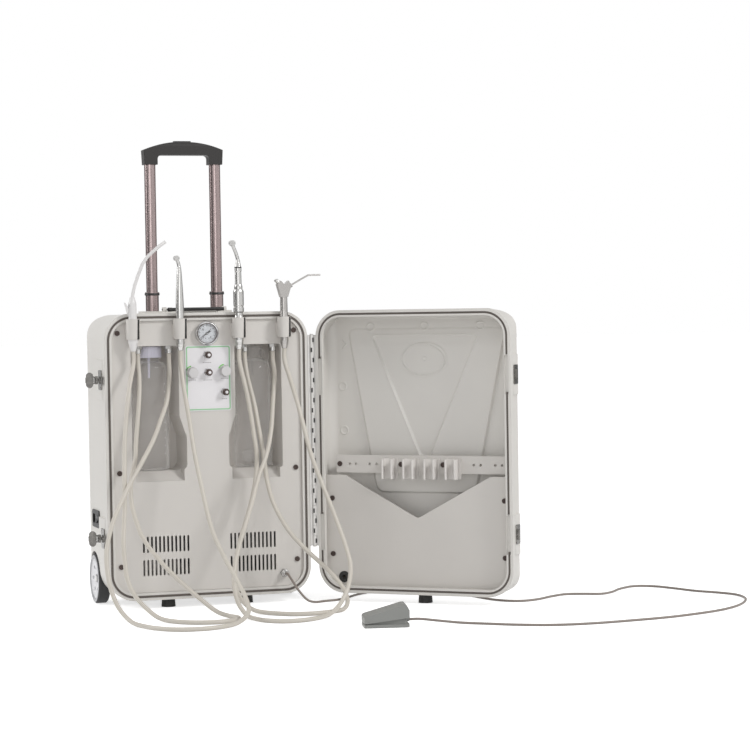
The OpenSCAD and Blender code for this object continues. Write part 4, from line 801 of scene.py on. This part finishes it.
def groove_shade_strip(bm):
    """A dark strip in the groove of the lid's rim, broken where the latches reach in: painted shadow in the
    empty groove.
    """
    w, h, r = HALF_WIDE - 2 * GROOVE_SHADE_INSET, HALF_HIGH - 2 * GROOVE_SHADE_INSET, RIM_CORNER - GROOVE_SHADE_INSET
    outer, inner = (
        points_along(rounded_outline(w + 2 * out, h + 2 * out, r + out, 10), GROOVE_SHADE_SPACING)
        for out in (GROOVE_SHADE_HALF, -GROOVE_SHADE_HALF)
    )
    count = min(len(outer), len(inner))
    for k in range(count):
        j = (k + 1) % count
        x, z = outer[k][0], outer[k][1] + HALF_MIDDLE_Z
        if abs(x) > STRAIGHT_SIDE and any(abs(z - latch) < LATCH_REACH for latch in LATCH_Z):
            continue
        slab(bm, [outer[k], outer[j], inner[j], inner[k]], *GROOVE_SHADE_Y, (0, HALF_MIDDLE_Z))


piece_from("lid_lining", lid_lining, LID, SHELL, "lid")
# dark strip painted as the shadow in the lid's empty rim groove
piece_from("lid_groove_shade", groove_shade_strip, LID, SEAL_AND_GROOVE_SHADE, "lid", smooth=False)

KNUCKLES = 21
KNUCKLE = 19.8
HINGE_LOW = 109
# black plates painted as the shade in the gaps between the hinge knuckles
GAP_SHADE_X = 1.7
GAP_SHADE_HALF = (1.5, 4.4)
GAP_SHADE_Y = (-4.75, -3.4)


def hinge_gap_shade(bm):
    """Black plates on alternate sides of the hinge's knuckles, seen from the front: painted shade of the
    gaps between the knuckles.
    """
    wide, high = GAP_SHADE_HALF
    for i in range(KNUCKLES):
        x = GAP_SHADE_X if i % 2 == 0 else -GAP_SHADE_X
        z = HINGE_LOW + (i + 0.5) * KNUCKLE
        slab(bm, oblong(x - wide, x + wide, -high, high), *GAP_SHADE_Y, (0, z))


AT_HINGE = Matrix.Translation((HINGE.x, HINGE.y, 0))
# painted shade: black plates where the gaps between the knuckles are in shadow
piece_from("hinge_gap_shade", hinge_gap_shade, AT_HINGE, BLACK, "case", smooth=False)

# ---------------------------------------------------------------- trolley collars, float, caps and holders

COLLAR_X = 66.5
COLLAR_Y = 185
COLLAR_RING = ((14.5, 607.5), (15.0, 608.2), (15.0, 611.4), (14.5, 612.2))
FLOAT_AT = (91, 52, 288)
FLOAT_R = 12


def collar_rings(bm):
    for side in (-1, 1):
        turned(bm, COLLAR_RING, "Z", (side * COLLAR_X, COLLAR_Y, 0), 48, closed=True)


def float_ball(bm):
    angles = [math.pi * k / 16 for k in range(17)]
    turned(bm, [(FLOAT_R * math.sin(a), -FLOAT_R * math.cos(a)) for a in angles], "Z", FLOAT_AT, 32)


CAPS_LOW, CAPS_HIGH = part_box("bottle_caps")
CAP_R = 25
PICK_UP_R = 2.5
PICK_UP_LONG = 40             # of the pick-up tube under its cap
NIPPLE_R = 4
NIPPLE_EDGE = 0.4
RIBS = 48
RIB_DEPTH = 1.0
RIBS_END = 19
BOTTLE_X = (CAPS_HIGH[0] - CAPS_LOW[0]) / 2 / MM - CAP_R
BOTTLE_Y = ((CAPS_LOW[1] + CAPS_HIGH[1]) / 2 - HINGE.y) / MM
CAP_Z = CAPS_LOW[2] / MM + PICK_UP_LONG
CAP_TOP = CAPS_HIGH[2] / MM
NIPPLE_END = [(NIPPLE_R, CAP_TOP - NIPPLE_EDGE), (0, CAP_TOP)]


def above_cap(pairs):
    """Profile points from pairs of radius and height over the cap's foot."""
    return [(radius, CAP_Z + height) for radius, height in pairs]


def lilac_cap(bm):
    """Ribbed screw cap of the water bottle, with its pick-up tube."""
    steps = 4 * RIBS
    levels = [(0, CAP_R - 0.6), (1.2, CAP_R), (18.5, CAP_R), (21.2, CAP_R - 1.4), (22, CAP_R - 3.5)]
    rings = []
    for height, radius in levels:
        depth = RIB_DEPTH if height < RIBS_END else 0
        ring_verts = []
        for k in range(steps):
            a = 2 * math.pi * k / steps
            r = radius - depth * (0.5 - 0.5 * math.cos(RIBS * a))
            x, y = r * math.cos(a) - BOTTLE_X, r * math.sin(a) + BOTTLE_Y
            ring_verts.append(bm.verts.new((x, y, CAP_Z + height)))
        rings.append(ring_verts)
    for low, high in zip(rings, rings[1:]):
        for k in range(steps):
            j = (k + 1) % steps
            bm.faces.new((low[k], low[j], high[j], high[k]))
    bm.faces.new(rings[0][::-1])
    bm.faces.new(rings[-1])
    pick_up = above_cap([(0, -PICK_UP_LONG), (PICK_UP_R, -PICK_UP_LONG), (PICK_UP_R, 1), (0, 1)])
    turned(bm, pick_up, "Z", (-BOTTLE_X, BOTTLE_Y, 0), 24)


def cap_nipple(bm):
    profile = above_cap([(0, 21.5), (5.5, 21.5), (5.5, 24.5), (NIPPLE_R, 25.5)]) + NIPPLE_END
    turned(bm, profile, "Z", (-BOTTLE_X, BOTTLE_Y, 0), 32)


def clear_cap(bm):
    """Clear domed cap of the waste bottle, with its pick-up tube and fitting."""
    profile = above_cap([
        (0, -PICK_UP_LONG), (PICK_UP_R, -PICK_UP_LONG), (PICK_UP_R, 0), (20.5, 0), (24.5, 0), (24.5, 9),
        (22, 14.5), (16, 18), (9, 19.5), (6.5, 22), (6.5, 27), (NIPPLE_R, 28),
    ])
    turned(bm, profile + NIPPLE_END, "Z", (BOTTLE_X, BOTTLE_Y, 0), 64)


BOTTLE_R = 38
MARKS_TURN = math.radians(38)
MARKS_LOW = 300
MARKS_STEP = 15
MARKS_COUNT = 10
DOT_Y = (-0.35, 0.4)


def bottle_marks(bm):
    """Printed graduation dots on the water bottle."""
    x, y = BOTTLE_R * math.sin(MARKS_TURN) - BOTTLE_X, BOTTLE_Y - BOTTLE_R * math.cos(MARKS_TURN)
    front, back = (y + depth for depth in DOT_Y)
    dot = [(0, front), (DOT_R, front), (DOT_R, back), (0, back)]
    for k in range(MARKS_COUNT):
        turned(bm, dot, "Y", (x, 0, MARKS_LOW + MARKS_STEP * k), 12)


HOLDER_X = (-149, -56, 61, 152)
HOLDER_Y = -14
# black strips painted as the shadow inside each holder's slot
SLOT_SHADE_TURN = math.radians(48)
SLOT_SHADE_OUT = (10.5, 12.6)
SLOT_SHADE_HALF = 3.3
SLOT_SHADE_Z = (523, 561)
CONTRA_RING = ((6.5, 657.6), (7.05, 657.8), (7.05, 659.6), (6.2, 659.9))


def holder_slot_shade(bm):
    """Black strips in the slot of each instrument holder: painted shadow of the deep slot."""
    out = Vector((math.sin(SLOT_SHADE_TURN), -math.cos(SLOT_SHADE_TURN), 0))
    side = Vector((math.cos(SLOT_SHADE_TURN), math.sin(SLOT_SHADE_TURN), 0))
    near, far = SLOT_SHADE_OUT
    corners = ((near, -SLOT_SHADE_HALF), (far, -SLOT_SHADE_HALF), (far, SLOT_SHADE_HALF), (near, SLOT_SHADE_HALF))
    for x in HOLDER_X:
        places = [Vector((x, HOLDER_Y, 0)) + out * d + side * w for d, w in corners]
        bottom, top = ([bm.verts.new((p.x, p.y, z)) for p in places] for z in SLOT_SHADE_Z)
        bm.faces.new(bottom[::-1])
        bm.faces.new(top)
        for k in range(4):
            j = (k + 1) % 4
            bm.faces.new((bottom[k], bottom[j], top[j], top[k]))


def contra_ring(bm):
    turned(bm, CONTRA_RING, "Z", (HOLDER_X[2], HOLDER_Y, 0), 40, closed=True)


water_cap = piece_from("water_cap", lilac_cap, CASE, CAP, "case")
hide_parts("bottle_caps")
piece_from("water_cap_nipple", cap_nipple, CASE, BLACK, "case")
piece_from("waste_cap", clear_cap, CASE, BOTTLE, "case")
piece_from("bottle_marks", bottle_marks, CASE, LABEL, "case", smooth=False)
# painted shadow: black strips in the holders' slots
piece_from("holder_slot_shade", holder_slot_shade, CASE, BLACK, "case", smooth=False)
piece_from("contra_ring", contra_ring, CASE, BLACK, "contra")
piece_from("collar_rings", collar_rings, CASE, BLACK, "stage")
piece_from("float_ball", float_ball, CASE, GLASS, "case")

# ---------------------------------------------------------------- floor, light and backdrop

FLOOR_SIZE = 60
FLOOR_GLOW = 0.64
FLOOR_MIRRORED = (1.2, 2.4)   # gloss mirrors the floor up to here, and the studio beyond


def make_floor():
    n = Nodes("floor_white")
    n.shader.inputs["Base Color"].default_value = (0.8, 0.8, 0.8, 1)
    n.shader.inputs["Roughness"].default_value = 0.9
    n.shader.inputs["Specular IOR Level"].default_value = 0.1
    rays = n.add("ShaderNodeLightPath")
    seen = n.add("ShaderNodeMath", operation="MAXIMUM")
    n.link(rays.outputs["Is Camera Ray"], seen.inputs[0])
    n.link(rays.outputs["Is Glossy Ray"], seen.inputs[1])
    seen_all = n.add("ShaderNodeMath", operation="MAXIMUM")
    n.link(seen.outputs[0], seen_all.inputs[0])
    n.link(rays.outputs["Is Transmission Ray"], seen_all.inputs[1])
    glow = n.add("ShaderNodeEmission")
    n.link(n.spread(seen_all.outputs[0], 0, FLOOR_GLOW, 0, 1), glow.inputs["Strength"])
    both = n.add("ShaderNodeAddShader")
    n.link(n.shader.outputs["BSDF"], both.inputs[0])
    n.link(glow.outputs["Emission"], both.inputs[1])
    far = n.add("ShaderNodeVectorMath", operation="LENGTH")
    n.link(n.place, far.inputs[0])
    through = n.add("ShaderNodeMath", operation="MULTIPLY")
    n.link(n.spread(far.outputs["Value"], 0, 1, *FLOOR_MIRRORED), through.inputs[0])
    n.link(rays.outputs["Is Glossy Ray"], through.inputs[1])
    screened = n.add("ShaderNodeMixShader")
    n.link(through.outputs[0], screened.inputs["Fac"])
    n.link(both.outputs["Shader"], screened.inputs[1])
    n.link(n.add("ShaderNodeBsdfTransparent").outputs["BSDF"], screened.inputs[2])
    n.link(screened.outputs["Shader"], n.tree.nodes["Material Output"].inputs["Surface"])
    mesh = bpy.data.meshes.new("floor")
    half = FLOOR_SIZE / 2
    corners = [(-half, -half, 0), (half, -half, 0), (half, half, 0), (-half, half, 0)]
    mesh.from_pydata(corners, [], [(0, 1, 2, 3)])
    mesh.materials.append(n.material)
    floor = bpy.data.objects.new("floor", mesh)
    bpy.context.scene.collection.objects.link(floor)


WORLD_LIGHT = 0.54
# each screen's direction, the cosines between which it fades in, and its level
DARK_SIDES = (((-0.954, 0.30, 0.0), 0.3, 0.8, 0.2), ((0.8, 0.6, 0.0), 0.7, 0.96, 0.3))


def make_world():
    """White studio. Two dark screens that only gloss mirrors give metal its bands."""
    world = bpy.data.worlds.new("studio")
    bpy.context.scene.world = world
    world.use_nodes = True
    tree = world.node_tree

    def math_node(operation, a, b):
        node = tree.nodes.new("ShaderNodeMath")
        node.operation = operation
        for value, socket in ((a, node.inputs[0]), (b, node.inputs[1])):
            if isinstance(value, (int, float)):
                socket.default_value = value
            else:
                tree.links.new(value, socket)
        return node.outputs[0]

    background = tree.nodes["Background"]
    background.inputs["Color"].default_value = (1, 1, 1, 1)
    rays = tree.nodes.new("ShaderNodeLightPath").outputs
    ahead = tree.nodes.new("ShaderNodeTexCoord").outputs["Generated"]
    mirrored = 1
    for direction, start, end, level in DARK_SIDES:
        dot = tree.nodes.new("ShaderNodeVectorMath")
        dot.operation = "DOT_PRODUCT"
        tree.links.new(ahead, dot.inputs[0])
        dot.inputs[1].default_value = direction
        fade = tree.nodes.new("ShaderNodeMapRange")
        fade.interpolation_type = "SMOOTHSTEP"
        fade.inputs["From Min"].default_value = start
        fade.inputs["From Max"].default_value = end
        fade.inputs["To Min"].default_value = 1
        fade.inputs["To Max"].default_value = level
        tree.links.new(dot.outputs["Value"], fade.inputs["Value"])
        mirrored = math_node("MULTIPLY", fade.outputs["Result"], mirrored)
    straight = math_node("MAXIMUM", rays["Is Camera Ray"], rays["Is Transmission Ray"])
    gloss = math_node("MULTIPLY", rays["Is Glossy Ray"], mirrored)
    spread = math_node("MULTIPLY", math_node("SUBTRACT", 1, rays["Is Glossy Ray"]), WORLD_LIGHT)
    strength = math_node("MAXIMUM", math_node("MAXIMUM", straight, gloss), spread)
    tree.links.new(strength, background.inputs["Strength"])


def lamp(name, place, aim, size, power):
    data = bpy.data.lights.new(name, "AREA")
    data.shape = "RECTANGLE"
    data.size, data.size_y = size
    data.energy = power
    light = bpy.data.objects.new(name, data)
    light.location = place
    light.rotation_euler = (Vector(aim) - Vector(place)).to_track_quat("-Z", "Y").to_euler()
    bpy.context.scene.collection.objects.link(light)


make_floor()
make_world()
lamp("key", (1.9, -2.4, 2.4), (0, 0, 0.3), (0.8, 0.8), 50)
lamp("front", (-1.3, -3.4, 1.1), (0, 0, 0.3), (1.4, 1.0), 10)
lamp("fill", (-3.0, 0.9, 1.6), (-0.3, 0.1, 0.3), (1.6, 1.6), 36)
bpy.context.scene.view_settings.view_transform = "Standard"
bpy.context.scene.cycles.transparent_max_bounces = 32

# ---------------------------------------------------------------- the last line

bpy.context.view_layer.update()
